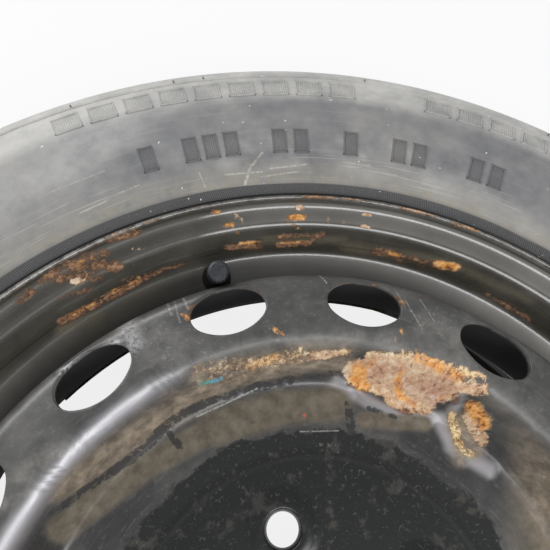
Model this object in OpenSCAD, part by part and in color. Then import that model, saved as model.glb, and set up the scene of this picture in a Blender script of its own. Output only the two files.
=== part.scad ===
// Temporary spare wheel: narrow radial tyre on a drop-centre steel rim, with a pressed disc
// welded into the well and a rubber snap-in valve.
// The wheel lies on its side. Z is the wheel axis and points to the outer (street) side.
// The origin is the centre of the hub mounting face, and the valve stands in the +Y direction.

/* [Tyre] */
// Overall diameter of the tyre
tyre_dia = 606; // [580:1:640]
// Section width of the tyre
section_w = 125; // [123:0.5:135]
// Width of the tread between its edges
tread_w = 92; // [80:1:100]
// Fall of the crown from the middle to the tread edge
crown_drop = 5.5; // [3:0.5:8]
// Depth of the tread grooves
tread_depth = 4.5; // [2:0.5:6]
// Width of the middle groove
mid_groove_w = 6; // [4:0.5:8]
// Width of the two outer grooves
side_groove_w = 7; // [4:0.5:9]
// Distance of each outer groove from the middle of the tread
side_groove_at = 22; // [18:1:26]
// Number of shoulder slots on each edge of the tread
slot_count = 48; // [24:2:60]
// Width of a shoulder slot
slot_w = 3.5; // [2:0.5:5]
// Thickness of rubber and belts below the tread grooves
belt_t = 8; // [6:0.5:11]
// Thickness of the sidewall at its widest place
sidewall_t = 6.5; // [5:0.5:9]
// Width of the rubber edge that covers the lip of the rim
rim_cover = 1.5; // [1:0.1:3]
// Width of the sloping band beside the rim, from the lip to the sidewall
side_band_w = 5.6; // [5:0.2:9]
// Height of the widest place of the tyre above the lip
widest_rise = 45; // [40:1:50]
// Depth of the shoulder below the crown
shoulder_drop = 15.5; // [14:0.5:18]
// Length of a shoulder slot across the tread
slot_reach = 12; // [8:1:14]

/* [Rim] */
// Bead seat diameter
seat_dia = 380.2; // [379:0.1:381]
// Width between the flanges where the beads sit
rim_w = 101.6; // [98:0.2:104]
// Height of the flange above the bead seat
flange_h = 14.3; // [13:0.1:17.3]
// Distance that the lip stands outside the bead face
lip_run = 9.4; // [9:0.1:11]
// Thickness of the rim sheet
rim_t = 2.4; // [2:0.1:3]
// Bend radius of the flange curl, to the middle of the sheet
curl_r = 7; // [6:0.1:7.5]
// Bend radius between flange and bead seat, to the middle of the sheet
heel_r = 7; // [6:0.1:7.5]
// Slope of the bead seat
seat_slope = 5; // [4:0.5:6]
// Width of the bead seat
seat_w = 11.5; // [10.5:0.1:12.5]
// Height of the safety hump above the seat
hump_h = 2; // [1.2:0.1:2.4]
// Distance from the end of the seat to the crest of the hump
hump_run = 4.1; // [3.5:0.1:5]
// Distance from the crest of the hump to the edge of the well
ledge_run = 6; // [5:0.1:7]
// Depth of the well below the bead seat
well_depth = 20.6; // [18:0.1:22]
// Slope of the outer wall of the well, against the plane of the wheel
wall_slope = 15; // [12:0.5:18]
// Slope of the inner wall of the well, against the plane of the wheel
inner_slope = 65; // [62:0.5:66]

/* [Disc] */
// Distance from the hub face to the middle plane of the rim
wheel_offset = 22; // [19:0.5:25]
// Thickness of the disc sheet
disc_t = 3.2; // [2.8:0.1:3.6]
// Depth of the end of the disc flange below the hub face
flange_depth = 5; // [3:0.5:6]
// Height of the outer edge of the disc above the hub face
edge_z = 29.9; // [28:0.1:31]
// Bend radius of the outer edge of the disc
edge_r = 8.4; // [7:0.1:9]
// Distance of the crest between vents and bowl from the disc flange
crest_inset = 32.9; // [31:0.1:36]
// Height of the crest above the hub face
crest_z = 36.8; // [34:0.2:38]
// Bend radius of the crest
crest_r = 9; // [7:0.5:11]
// Distance of the foot of the bowl wall from the disc flange
foot_inset = 45.4; // [43:0.2:48]
// Height of the bowl floor above the nave
floor_rise = 3; // [2:0.2:5]
// Bend radius at the foot of the bowl wall
foot_r = 8; // [6:0.5:10]
// Width of the bowl floor between its foot and the step down to the nave
floor_w = 23; // [20:0.5:26]
// Width of the step between bowl floor and nave
step_w = 9; // [7:0.5:12]
// Bend radius at both edges of that step
step_r = 10; // [6:0.5:12]
// Number of vent holes
vent_count = 15; // [9:1:16]
// Distance of the circle of vent centres from the disc flange
vent_inset = 14; // [13.4:0.1:15.2]
// Length of a vent along the circle
vent_l = 34.8; // [30:0.2:38]
// Width of a vent across the circle
vent_w = 24; // [20:0.2:25]
// Radius of a vent's ends
vent_end_r = 9; // [7:0.5:9.5]

/* [Hub fixing] */
// Diameter of the centre bore
bore_dia = 57.1; // [54:0.1:72.6]
// Number of bolt holes
bolt_count = 5; // [4:1:6]
// Diameter of the bolt circle
bolt_circle = 112; // [108:0.5:120]
// Diameter of a bolt hole
bolt_dia = 14.5; // [14:0.1:15.2]
// Largest diameter of the conical bolt seat
seat_cone_dia = 17.5; // [17:0.1:18]
// Rise of the sheet round each bolt hole
boss_rise = 2.2; // [1.8:0.1:2.8]
// Depth of the hollow on the back of each raised bolt seat
boss_hollow = 1.2; // [0.6:0.1:1.4]
// Outer diameter of the raised sheet round a bolt hole
boss_dia = 34; // [30:0.5:38]

/* [Welds] */
// Number of weld beads between disc and rim
weld_count = 8; // [4:1:10]
// Length of a weld bead along the circle, in degrees
weld_arc = 18; // [10:1:24]
// Leg of a weld bead
weld_leg = 4; // [2.5:0.1:5]

/* [Valve] */
// Diameter of the valve hole
valve_hole_dia = 11.5; // [11.3:0.1:11.7]
// Distance of the valve from the floor of the well, along the wall that it passes through
valve_inset = 10.1; // [9.5:0.1:10.7]
// Diameter of the rubber head on the air side
head_dia = 14.4; // [13.5:0.1:15]
// Diameter of the rubber collar on the open side
collar_dia = 14.8; // [14:0.1:15.4]
// Distance from the rim to the top of the metal stem
stem_reach = 29.4; // [28:0.2:31]
// Diameter over the stem's outer thread
thread_dia = 7.7; // [7.4:0.05:7.9]
// Length of the stem's outer thread
thread_l = 9.4; // [8:0.2:10]
// Diameter of the bore for the core's thread
core_bore_dia = 5.3; // [5.1:0.05:5.5]
// Diameter of the air way below the core seat
airway_dia = 4; // [3.8:0.05:4.2]
// Depth of the core plug's top below the stem's top
plug_depth = 1.4; // [1:0.1:2]
// Length of the core's threaded plug
plug_l = 3.2; // [2.8:0.1:3.6]
// Length of the core's barrel
barrel_l = 8.6; // [8:0.1:9.5]
// Outer diameter of the core's barrel
barrel_dia = 3.7; // [3.5:0.05:3.75]
// Bore of the core's barrel
barrel_bore = 2.7; // [2.5:0.05:2.75]
// Diameter of the core pin
pin_dia = 1; // [0.9:0.05:1.1]
// Wire diameter of the core spring
spring_wire = 0.3; // [0.2:0.02:0.34]
// Turns of the core spring
spring_turns = 6; // [4:1:8]

/* [Valve cap] */
// Diameter over the grip ribs of the cap
cap_dia = 10.4; // [10:0.1:11]
// Length of the cap
cap_l = 11.4; // [10.8:0.1:12]
// Thickness of the cap's roof
cap_roof = 1.2; // [0.9:0.1:1.5]
// Number of grip ribs
rib_count = 26; // [18:1:30]
// Height of a grip rib
rib_h = 0.5; // [0.3:0.05:0.7]
// Thickness of the sealing ring in the cap
ring_t = 0.8; // [0.6:0.05:1]

/* [Hidden] */
round_fn = 144;
small_fn = 48;
bend_steps = 8;
arc_steps = 10;
// Gap left between the tyre bead and the rim
bead_gap = 0.1;
// Gap between the disc flange and the well
disc_gap = 0.1;
// Gap between rubber and the hole or stem that it grips
rubber_gap = 0.05;
// Running gap of threads and of the core's sliding pin
thread_gap = 0.05;
// Length by which a cutting body passes the faces that it cuts
past = 1;
// Depth to which one body runs into the one that it is joined to
overlap = 0.01;

// Rim section, to the middle of its sheet, with Z from the middle plane of the rim
seat_r = seat_dia / 2;
bead_z = rim_w / 2;
bead_mid_z = bead_z + rim_t / 2;
lip_z = bead_z + lip_run;
lip_r = seat_r + flange_h;
lip_mid_r = lip_r - rim_t / 2;
seat_mid_r = seat_r - rim_t / 2;
seat_end_z = bead_mid_z - seat_w;
seat_end_r = seat_mid_r - seat_w * tan(seat_slope);
hump_z = seat_end_z - hump_run;
hump_r = seat_end_r + hump_h;
ledge_z = hump_z - ledge_run;
ledge_r = seat_end_r - ledge_run * tan(seat_slope);
well_mid_r = seat_r - well_depth - rim_t / 2;
well_inside_r = well_mid_r - rim_t / 2;
well_top_z = ledge_z - (ledge_r - well_mid_r) * tan(wall_slope);
well_end_z = -ledge_z + (ledge_r - well_mid_r) * tan(inner_slope);
hump_bend_r = 3;
ledge_bend_r = 4;
barrel_bend_r = 8;

// Disc section, to the middle of its sheet, with Z from the hub face
disc_flange_r = well_inside_r - disc_gap - disc_t / 2;
crest_at = disc_flange_r - crest_inset;
foot_at = disc_flange_r - foot_inset;
step_at = foot_at - floor_w;
nave_at = step_at - step_w;
vent_at = disc_flange_r - vent_inset;
nave_mid_z = disc_t / 2;
floor_mid_z = nave_mid_z + floor_rise;
face_slope = atan((crest_z - edge_z) / (disc_flange_r - crest_at));
vent_half_l = vent_l / 2;
vent_half_w = vent_w / 2;
vent_side_r = (pow(vent_half_l - vent_end_r, 2) + pow(vent_half_w, 2) - pow(vent_end_r, 2))
    / (2 * (vent_half_w - vent_end_r));
vent_join_x = vent_side_r * (vent_half_l - vent_end_r) / (vent_side_r - vent_end_r);
vent_z = edge_z + (disc_flange_r - vent_at) * tan(face_slope);
vent_cut_h = 24;
boss_land = 2.5;
// Width of the sheet inside the bore, cut away by the bore
blank_spare = 5;
seat_cone_half = 30;
boss_top_dia = seat_cone_dia + 2 * boss_land;
seat_cone_l = (seat_cone_dia - bolt_dia) / 2 / tan(seat_cone_half);

// Two points of a weld bead's bulging face, as shares of its leg
weld_throat = [0.35, 0.9];
weld_brow = [0.8, 0.5];

// Tyre section, with Z from the middle plane of the rim
tyre_r = tyre_dia / 2;
tread_half = tread_w / 2;
side_half = section_w / 2;
rim_cover_r = lip_r + rim_cover;
rim_cover_z = lip_z - 0.3;
band_end_r = lip_r + side_band_w;
widest_r = lip_r + widest_rise;
shoulder_r = tyre_r - shoulder_drop;
groove_draft = 0.8;
slot_mid_z = tread_half - 1;
tread_edge_share = 0.8;
// Middle of the rounded shoulder, below the crown and inside the widest plane
shoulder_mid_drop = 9.4;
shoulder_mid_in = 11.3;
// Depth of the shoulder, the sidewall's two ends and the band's edge inside the widest plane
shoulder_in = 7.7;
side_top_in = 7.2;
side_foot_in = 1.2;
band_in = 1.9;
// Small steps of radius from the shoulder to the sidewall and from the band to the sidewall
side_top_step = 1.5;
side_foot_step = 1;
// Bead toe and inner liner
toe_run = 1;
toe_tip = [1.2, -1.4];
toe_root = [9, 0.4];
liner_foot = [8, 12.5];
liner_top = [4, 15.5];
belt_edge_drop = 1.5;
bead_steps = 4;
curl_wrap = 60;

// Valve, measured along its axis from the open face of the well's wall
valve_at = well_mid_r + valve_inset;
valve_wall_z = ledge_z - (ledge_r - valve_at) * tan(wall_slope);
head_l = 6.5;
collar_l = 3;
neck_l = 9.5;
neck_dia = 10;
stem_dia = 6;
shank_dia = 8.6;
thread_relief = 0.6;
rubber_end = stem_reach - thread_l - thread_relief;
plug_top = stem_reach - plug_depth;
plug_end = plug_top - plug_l;
barrel_end = plug_end - barrel_l;
core_seat_s = plug_end - 3.2;
core_seat_l = 1.6;
waist_depth = 0.35;
gasket_lip = 0.35;
waist_spare = 0.4;
stem_in_head = 1;
stem_foot = -(rim_t + head_l - stem_in_head);
ledge_t = 0.8;
pin_rise = 0.9;
collar_s = plug_end - pin_rise;
pin_head_drop = 0.4;
plug_bore_spare = 0.2;
plug_slot = 1.1;
plug_flat = 0.3;
pin_collar_t = 0.5;
pin_collar_spare = 0.3;
pin_collar_dia = barrel_bore - pin_collar_spare;
pin_head_dia = 1.7;
pin_head_l = 0.7;
seal_t = 0.7;
cup_t = 0.5;
cup_spare = 0.3;
cup_dia = barrel_dia - cup_spare;
seal_inset = 0.2;
cap_bore_dia = thread_dia + 2 * thread_gap;
cap_ring_spare = 0.3;
cap_ring_dia = cap_bore_dia - cap_ring_spare;
cap_ring_bore = 3.2;
cap_top = stem_reach + ring_t + cap_roof;
cap_foot = cap_top - cap_l;
cap_body_dia = cap_dia - 2 * rib_h;
cap_face_dia = 7.8;
cap_cone_l = 1.9;
cap_edge = 0.45;

// Unit vector from point p to point q of a section
function heading(p, q) = let (d = [q[0] - p[0], q[1] - p[1]]) d / norm(d);

// Direction d turned left by an angle
function turned(d, a) = [d[0] * cos(a) - d[1] * sin(a), d[0] * sin(a) + d[1] * cos(a)];

// Bend b of a sheet that comes from a and goes on to c, seen at a distance off to its left
function bend(a, b, c, off) = let (
    d1 = heading(a, b),
    d2 = heading(b, c),
    side = sign(cross(d1, d2)),
    turn = acos(d1 * d2),
    run = b[2] * tan(turn / 2),
    n1 = turned(d1, 90),
    centre = [b[0], b[1]] - d1 * run + n1 * side * b[2]
) [for (k = [0:bend_steps]) centre - turned(n1, side * turn * k / bend_steps) * (side * b[2] - off)];

// One side of a sheet whose middle runs through path points [radius, height, bend radius]
function sheet_side(path, off) = let (last = len(path) - 1) [
    [path[0][0], path[0][1]] + turned(heading(path[0], path[1]), 90) * off,
    for (i = [1:last - 1]) each bend(path[i - 1], path[i], path[i + 1], off),
    [path[last][0], path[last][1]] + turned(heading(path[last - 1], path[last]), 90) * off
];

function backwards(list) = [for (i = [len(list) - 1:-1:0]) list[i]];

// Section of a bent sheet of thickness t
module sheet_section(path, t) {
    polygon(concat(sheet_side(path, t / 2), backwards(sheet_side(path, -t / 2))));
}

// Points of the round arc from a through b to c
function arc_through(a, b, c) = let (
    w = 2 * (a[0] * (b[1] - c[1]) + b[0] * (c[1] - a[1]) + c[0] * (a[1] - b[1])),
    qa = a * a,
    qb = b * b,
    qc = c * c,
    centre = [
        (qa * (b[1] - c[1]) + qb * (c[1] - a[1]) + qc * (a[1] - b[1])) / w,
        (qa * (c[0] - b[0]) + qb * (a[0] - c[0]) + qc * (b[0] - a[0])) / w
    ],
    start = a - centre,
    end = c - centre,
    turn = acos(start * end / (norm(start) * norm(end))),
    side = sign(cross(start, end))
) [for (k = [0:arc_steps]) centre + turned(start, side * turn * k / arc_steps)];

// Radius of the tread surface at distance z from its middle
function crown_r(z) = tyre_r - crown_drop * pow(z / tread_half, 2);

// Outline of one tread groove, with slightly sloping sides
function groove(z, w) = [
    [crown_r(z - w / 2), z - w / 2],
    [crown_r(z) - tread_depth, z - w / 2 + groove_draft],
    [crown_r(z) - tread_depth, z + w / 2 - groove_draft],
    [crown_r(z + w / 2), z + w / 2]
];

// Half outline of the tyre, from the bottom of the middle groove round to the inner liner
function tyre_half() = let (
    curl_centre = [lip_mid_r - curl_r, bead_mid_z + curl_r],
    curl_off = curl_r + rim_t / 2 + bead_gap,
    heel = heel_r - rim_t / 2 - bead_gap,
    heel_centre = [seat_r + bead_gap + heel, bead_z - bead_gap - heel],
    toe_z = seat_end_z + toe_run,
    toe = [seat_r - (bead_z - toe_z) * tan(seat_slope) + bead_gap, toe_z],
    tread_edge_z = tread_half * tread_edge_share,
    belt_r = tyre_r - tread_depth - belt_t
) concat(
    [[tyre_r - tread_depth, 0]],
    [for (p = groove(0, mid_groove_w)) if (p[1] > 0) p],
    groove(side_groove_at, side_groove_w),
    [[crown_r(tread_edge_z), tread_edge_z]],
    arc_through(
        [crown_r(tread_half), tread_half],
        [tyre_r - shoulder_mid_drop, side_half - shoulder_mid_in],
        [shoulder_r, side_half - shoulder_in]
    ),
    arc_through(
        [shoulder_r - side_top_step, side_half - side_top_in],
        [widest_r, side_half],
        [band_end_r + side_foot_step, side_half - side_foot_in]
    ),
    [[band_end_r, side_half - band_in], [rim_cover_r, rim_cover_z]],
    [for (k = [0:bead_steps]) let (a = curl_wrap * (1 - k / bead_steps))
        curl_centre + curl_off * [sin(a), -cos(a)]],
    [for (k = [0:bead_steps]) let (a = 90 * (1 - k / bead_steps))
        heel_centre + heel * [-cos(a), sin(a)]],
    [toe, toe + toe_tip, toe + toe_root],
    arc_through(
        [lip_r + liner_foot[0], side_half - liner_foot[1]],
        [widest_r, side_half - sidewall_t],
        [shoulder_r - liner_top[0], side_half - liner_top[1]]
    ),
    [[belt_r - belt_edge_drop, tread_edge_z], [belt_r, 0]]
);

module tyre() {
    half = tyre_half();
    ends = len(half) - 1;
    other = [for (i = [ends - 1:-1:1]) [half[i][0], -half[i][1]]];
    color("dimgray")
    translate([0, 0, -wheel_offset])
    difference() {
        rotate_extrude($fn = round_fn) polygon(concat(half, other));
        for (side = [-1, 1], i = [0:slot_count - 1]) {
            rotate([0, 0, (i + (side > 0 ? 0 : 0.5)) * 360 / slot_count])
            translate([tyre_r - crown_drop - tread_depth, -slot_w / 2, side * slot_mid_z - slot_reach / 2])
            cube([tread_depth + crown_drop, slot_w, slot_reach]);
        }
    }
}

// Path of the rim sheet from the lip to the edge of the well, on one side of the middle plane
function rim_half(side) = [
    [lip_mid_r, side * lip_z, 0],
    [lip_mid_r, side * bead_mid_z, curl_r],
    [seat_mid_r, side * bead_mid_z, heel_r],
    [seat_end_r, side * seat_end_z, hump_bend_r],
    [hump_r, side * hump_z, hump_bend_r],
    [ledge_r, side * ledge_z, ledge_bend_r]
];

// Places what is drawn along Z at the valve, with Z = 0 on the open face of the well's wall
module at_valve() {
    translate([0, valve_at, valve_wall_z - wheel_offset])
    rotate([wall_slope, 0, 0])
    translate([0, 0, rim_t / 2])
    children();
}

module rim_band() {
    path = concat(
        rim_half(1),
        [[well_mid_r, well_top_z, ledge_bend_r], [well_mid_r, well_end_z, barrel_bend_r]],
        backwards(rim_half(-1))
    );
    color([0.13, 0.13, 0.14])
    difference() {
        translate([0, 0, -wheel_offset])
        rotate_extrude($fn = round_fn) sheet_section(path, rim_t);
        at_valve()
        translate([0, 0, -rim_t - past])
        cylinder(d = valve_hole_dia, h = rim_t + 2 * past, $fn = small_fn);
    }
}

// Outline of a vent: two end arcs and two wider side arcs that meet them smoothly
module vent_outline() {
    for (side = [-1, 1]) {
        translate([side * (vent_half_l - vent_end_r), 0]) circle(r = vent_end_r, $fn = small_fn);
    }
    intersection() {
        translate([0, vent_half_w - vent_side_r]) circle(r = vent_side_r, $fn = round_fn);
        translate([0, vent_side_r - vent_half_w]) circle(r = vent_side_r, $fn = round_fn);
        square([2 * vent_join_x, vent_w], center = true);
    }
}

// Sheet raised round one bolt hole
module bolt_boss() {
    translate([0, 0, disc_t - overlap])
    cylinder(d1 = boss_dia, d2 = boss_top_dia, h = boss_rise + overlap, $fn = small_fn);
}

// Hollow below the boss, the bolt hole and its conical seat
module bolt_cut() {
    translate([0, 0, -past])
    cylinder(d = bolt_dia, h = disc_t + boss_rise + 2 * past, $fn = small_fn);
    translate([0, 0, -overlap])
    cylinder(d1 = boss_dia - 2 * disc_t, d2 = boss_top_dia, h = boss_hollow + overlap, $fn = small_fn);
    translate([0, 0, disc_t + boss_rise - seat_cone_l])
    cylinder(d1 = bolt_dia, d2 = seat_cone_dia, h = seat_cone_l, $fn = small_fn);
}

module wheel_disc() {
    path = [
        [disc_flange_r, -flange_depth, 0],
        [disc_flange_r, edge_z, edge_r],
        [crest_at, crest_z, crest_r],
        [foot_at, floor_mid_z, foot_r],
        [step_at, floor_mid_z, step_r],
        [nave_at, nave_mid_z, step_r],
        [bore_dia / 2 - blank_spare, nave_mid_z, 0]
    ];
    color([0.2, 0.2, 0.2])
    difference() {
        union() {
            rotate_extrude($fn = round_fn) sheet_section(path, disc_t);
            for (i = [0:bolt_count - 1]) {
                rotate([0, 0, i * 360 / bolt_count]) translate([0, bolt_circle / 2, 0]) bolt_boss();
            }
        }
        translate([0, 0, -past]) cylinder(d = bore_dia, h = disc_t + 2 * past, $fn = round_fn);
        for (i = [0:bolt_count - 1]) {
            rotate([0, 0, i * 360 / bolt_count]) translate([0, bolt_circle / 2, 0]) bolt_cut();
        }
        for (i = [0:vent_count - 1]) {
            rotate([0, 0, i * 360 / vent_count])
            translate([0, vent_at, vent_z])
            rotate([-face_slope, 0, 0])
            translate([0, 0, -vent_cut_h / 2])
            linear_extrude(vent_cut_h)
            vent_outline();
        }
    }
}

module disc_welds() {
    top = -flange_depth;
    outer = well_inside_r - disc_gap;
    leg = weld_leg;
    color([0.3, 0.28, 0.26])
    for (i = [0:weld_count - 1]) {
        rotate([0, 0, (i + 0.5) * 360 / weld_count - weld_arc / 2])
        rotate_extrude(angle = weld_arc, $fn = round_fn)
        polygon([
            [outer, top],
            [outer, top - leg],
            [outer - leg * weld_throat[0], top - leg * weld_throat[1]],
            [outer - leg * weld_brow[0], top - leg * weld_brow[1]],
            [outer - leg, top]
        ]);
    }
}

module valve_body() {
    head_r = head_dia / 2;
    collar_r = collar_dia / 2;
    hole_r = valve_hole_dia / 2 - rubber_gap;
    face = rim_t + rubber_gap;
    inner_r = stem_dia / 2 + rubber_gap;
    color([0.09, 0.09, 0.09])
    at_valve()
    rotate_extrude($fn = small_fn)
    polygon([
        [inner_r, -face - head_l],
        [head_r - 2.2, -face - head_l],
        [head_r - 0.6, -face - 2.6],
        [head_r, -face - 1.8],
        [head_r, -face],
        [hole_r, -face],
        [hole_r, rubber_gap],
        [collar_r, rubber_gap],
        [collar_r, collar_l * 0.6],
        [collar_r - 0.8, collar_l],
        [neck_dia / 2 + 0.8, neck_l * 0.65],
        [neck_dia / 2, neck_l],
        [shank_dia / 2 + 0.1, rubber_end - 1],
        [shank_dia / 2 - 0.5, rubber_end],
        [inner_r, rubber_end]
    ]);
}

module valve_stem() {
    thread_r = thread_dia / 2;
    core_r = core_bore_dia / 2;
    air_r = airway_dia / 2;
    color([0.72, 0.58, 0.3])
    at_valve()
    rotate_extrude($fn = small_fn)
    polygon([
        [air_r, stem_foot],
        [stem_dia / 2, stem_foot],
        [stem_dia / 2, rubber_end + rubber_gap],
        [thread_r - 0.3, rubber_end + rubber_gap],
        [thread_r, rubber_end + rubber_gap + 0.3],
        [thread_r, stem_reach - 0.5],
        [thread_r - 0.5, stem_reach],
        [core_r + 0.3, stem_reach],
        [core_r, stem_reach - 0.3],
        [core_r, core_seat_s + core_seat_l],
        [air_r, core_seat_s]
    ]);
}

// Ring with its axis on the valve axis, between two heights
module valve_ring(inner_dia, outer_dia, from, to) {
    rotate_extrude($fn = small_fn)
    translate([inner_dia / 2, from])
    square([(outer_dia - inner_dia) / 2, to - from]);
}

module core_plug() {
    outer = core_bore_dia - 2 * thread_gap;
    color([0.75, 0.62, 0.34])
    at_valve()
    difference() {
        valve_ring(pin_head_dia + plug_bore_spare, outer, plug_end, plug_top);
        for (side = [-1, 1]) {
            translate([side * (outer / 2) - outer * plug_flat / 2, -outer, plug_top - plug_slot])
            cube([outer * plug_flat, 2 * outer, plug_slot + past]);
        }
    }
}

module core_barrel() {
    bottom = barrel_end;
    top = plug_end;
    r = barrel_dia / 2;
    bore_r = barrel_bore / 2;
    pin_hole_r = pin_dia / 2 + thread_gap;
    waist_r = r - waist_depth;
    color([0.75, 0.62, 0.34])
    at_valve()
    rotate_extrude($fn = small_fn)
    polygon([
        [pin_hole_r, bottom],
        [r, bottom],
        [r, core_seat_s],
        [waist_r, core_seat_s],
        [waist_r, core_seat_s + core_seat_l + waist_spare],
        [r, core_seat_s + core_seat_l + waist_spare],
        [r, top],
        [bore_r, top],
        [bore_r, bottom + ledge_t],
        [pin_hole_r, bottom + ledge_t]
    ]);
}

module core_gasket() {
    waist_r = barrel_dia / 2 - waist_depth + rubber_gap;
    low_r = airway_dia / 2 - rubber_gap;
    high_r = core_bore_dia / 2 - 2 * rubber_gap;
    low = core_seat_s + rubber_gap;
    high = core_seat_s + core_seat_l;
    top = high + gasket_lip;
    color("firebrick")
    at_valve()
    rotate_extrude($fn = small_fn)
    polygon([[waist_r, low], [low_r, low], [high_r, high], [high_r, top], [waist_r, top]]);
}

module core_pin() {
    foot = barrel_end - seal_t - cup_t;
    head_top = stem_reach - pin_head_drop;
    color([0.78, 0.7, 0.5])
    at_valve() {
        translate([0, 0, foot]) cylinder(d = pin_dia, h = head_top - foot, $fn = small_fn);
        translate([0, 0, head_top - pin_head_l]) cylinder(d = pin_head_dia, h = pin_head_l, $fn = small_fn);
        translate([0, 0, collar_s]) cylinder(d = pin_collar_dia, h = pin_collar_t, $fn = small_fn);
    }
}

module core_seal() {
    color([0.12, 0.12, 0.12])
    at_valve()
    valve_ring(pin_dia + 2 * rubber_gap, cup_dia - seal_inset, barrel_end - seal_t, barrel_end);
}

module core_cup() {
    color([0.75, 0.62, 0.34])
    at_valve()
    valve_ring(pin_dia + 2 * rubber_gap, cup_dia, barrel_end - seal_t - cup_t, barrel_end - seal_t);
}

// Closed coil of round wire round Z, as one tube with a ring of points at each step
module coil(coil_r, wire_r, length, turns) {
    sides = 8;
    steps = turns * 12;
    ring = [for (k = [0:steps], j = [0:sides - 1])
        let (a = 360 * turns * k / steps, b = 360 * j / sides, r = coil_r + wire_r * cos(b))
        [r * cos(a), r * sin(a), wire_r + (length - 2 * wire_r) * k / steps + wire_r * sin(b)]
    ];
    walls = [for (k = [0:steps - 1], j = [0:sides - 1])
        let (n = (j + 1) % sides)
        [k * sides + j, k * sides + n, (k + 1) * sides + n, (k + 1) * sides + j]
    ];
    polyhedron(
        ring,
        concat(
            [[for (j = [sides - 1:-1:0]) j]],
            walls,
            [[for (j = [0:sides - 1]) steps * sides + j]]
        ),
        convexity = 10
    );
}

module core_spring() {
    low = barrel_end + ledge_t;
    color("silver")
    at_valve()
    translate([0, 0, low])
    coil((pin_dia + 2 * thread_gap + barrel_bore) / 4, spring_wire / 2, collar_s - low, spring_turns);
}

module valve_cap() {
    color([0.1, 0.1, 0.11])
    at_valve()
    difference() {
        intersection() {
            union() {
                translate([0, 0, cap_foot]) cylinder(d = cap_body_dia, h = cap_l, $fn = small_fn);
                for (i = [0:rib_count - 1]) {
                    rotate([0, 0, i * 360 / rib_count])
                    translate([cap_body_dia / 2 - rib_h, -rib_h * 0.6, cap_foot])
                    cube([2 * rib_h, rib_h * 1.2, cap_l]);
                }
            }
            rotate_extrude($fn = small_fn)
            polygon([
                [0, cap_foot],
                [cap_body_dia / 2, cap_foot],
                [cap_dia / 2, cap_foot + rib_h],
                [cap_dia / 2, cap_top - cap_cone_l],
                [cap_face_dia / 2 + cap_edge, cap_top - cap_edge],
                [cap_face_dia / 2 - cap_edge / 2, cap_top],
                [0, cap_top]
            ]);
        }
        translate([0, 0, cap_foot - past])
        cylinder(d = cap_bore_dia, h = cap_l - cap_roof + past, $fn = small_fn);
    }
}

module cap_ring() {
    color([0.15, 0.15, 0.15])
    at_valve()
    valve_ring(cap_ring_bore, cap_ring_dia, stem_reach, stem_reach + ring_t);
}

tyre();
rim_band();
wheel_disc();
disc_welds();
valve_body();
valve_stem();
core_plug();
core_barrel();
core_gasket();
core_pin();
core_cup();
core_seal();
core_spring();
valve_cap();
cap_ring();
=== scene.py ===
# A used temporary spare wheel, lying flat with its outer side up: a rolled steel rim, a pressed
# steel disc welded into it, a rubber valve and a narrow worn tyre. Lengths in the sections are
# millimetres and are turned into metres where a mesh is made. Z is the wheel's axis.
import math
from functools import partial

import bmesh
import bpy
import numpy as np
from mathutils import Matrix, Vector
from mathutils.noise import fractal


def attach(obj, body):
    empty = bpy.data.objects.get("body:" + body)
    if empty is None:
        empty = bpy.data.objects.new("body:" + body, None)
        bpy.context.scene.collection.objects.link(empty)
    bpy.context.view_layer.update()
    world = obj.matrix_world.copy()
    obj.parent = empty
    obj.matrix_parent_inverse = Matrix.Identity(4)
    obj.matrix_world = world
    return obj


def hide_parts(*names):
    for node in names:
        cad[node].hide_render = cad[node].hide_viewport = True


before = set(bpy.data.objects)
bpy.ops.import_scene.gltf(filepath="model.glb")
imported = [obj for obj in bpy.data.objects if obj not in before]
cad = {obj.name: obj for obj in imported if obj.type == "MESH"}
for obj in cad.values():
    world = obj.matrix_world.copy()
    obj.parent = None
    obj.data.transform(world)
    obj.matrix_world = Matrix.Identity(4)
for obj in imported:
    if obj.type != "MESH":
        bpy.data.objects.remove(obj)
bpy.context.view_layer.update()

mm = 0.001


# ---- Rim band -----------------------------------------------------------------------------------
# One strip of 2.4 mm steel, rolled into a hoop and formed with two curled flanges, two bead seats
# and a deep well. Gloss black paint; rust has come through below the outer lip and in the ledge.

rim_middle = -22.0
rim_sheet = 2.4
rim_columns = 480
rim_path = [  # radius, height over the rim's middle plane, bend radius, from the outer lip inwards
    (204.2, 60.2, 0), (204.2, 52, 6), (193.2, 52, 4), (188.9, 43.8, 4), (187.894, 40.5, 2),
    (189.894, 36.4, 3), (187.369, 30.4, 9), (168.3, 25.29, 4), (168.3, 10.49, 8), (187.369, -30.4, 4),
    (189.894, -36.4, 3), (187.894, -40.5, 3), (188.9, -52, 7), (203.2, -52, 7), (203.2, -60.2, 0),
]


def turned(way, angle):
    """A flat direction, turned by an angle in radians."""
    c, s = math.cos(angle), math.sin(angle)
    return np.array([way[0] * c - way[1] * s, way[0] * s + way[1] * c])


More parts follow.
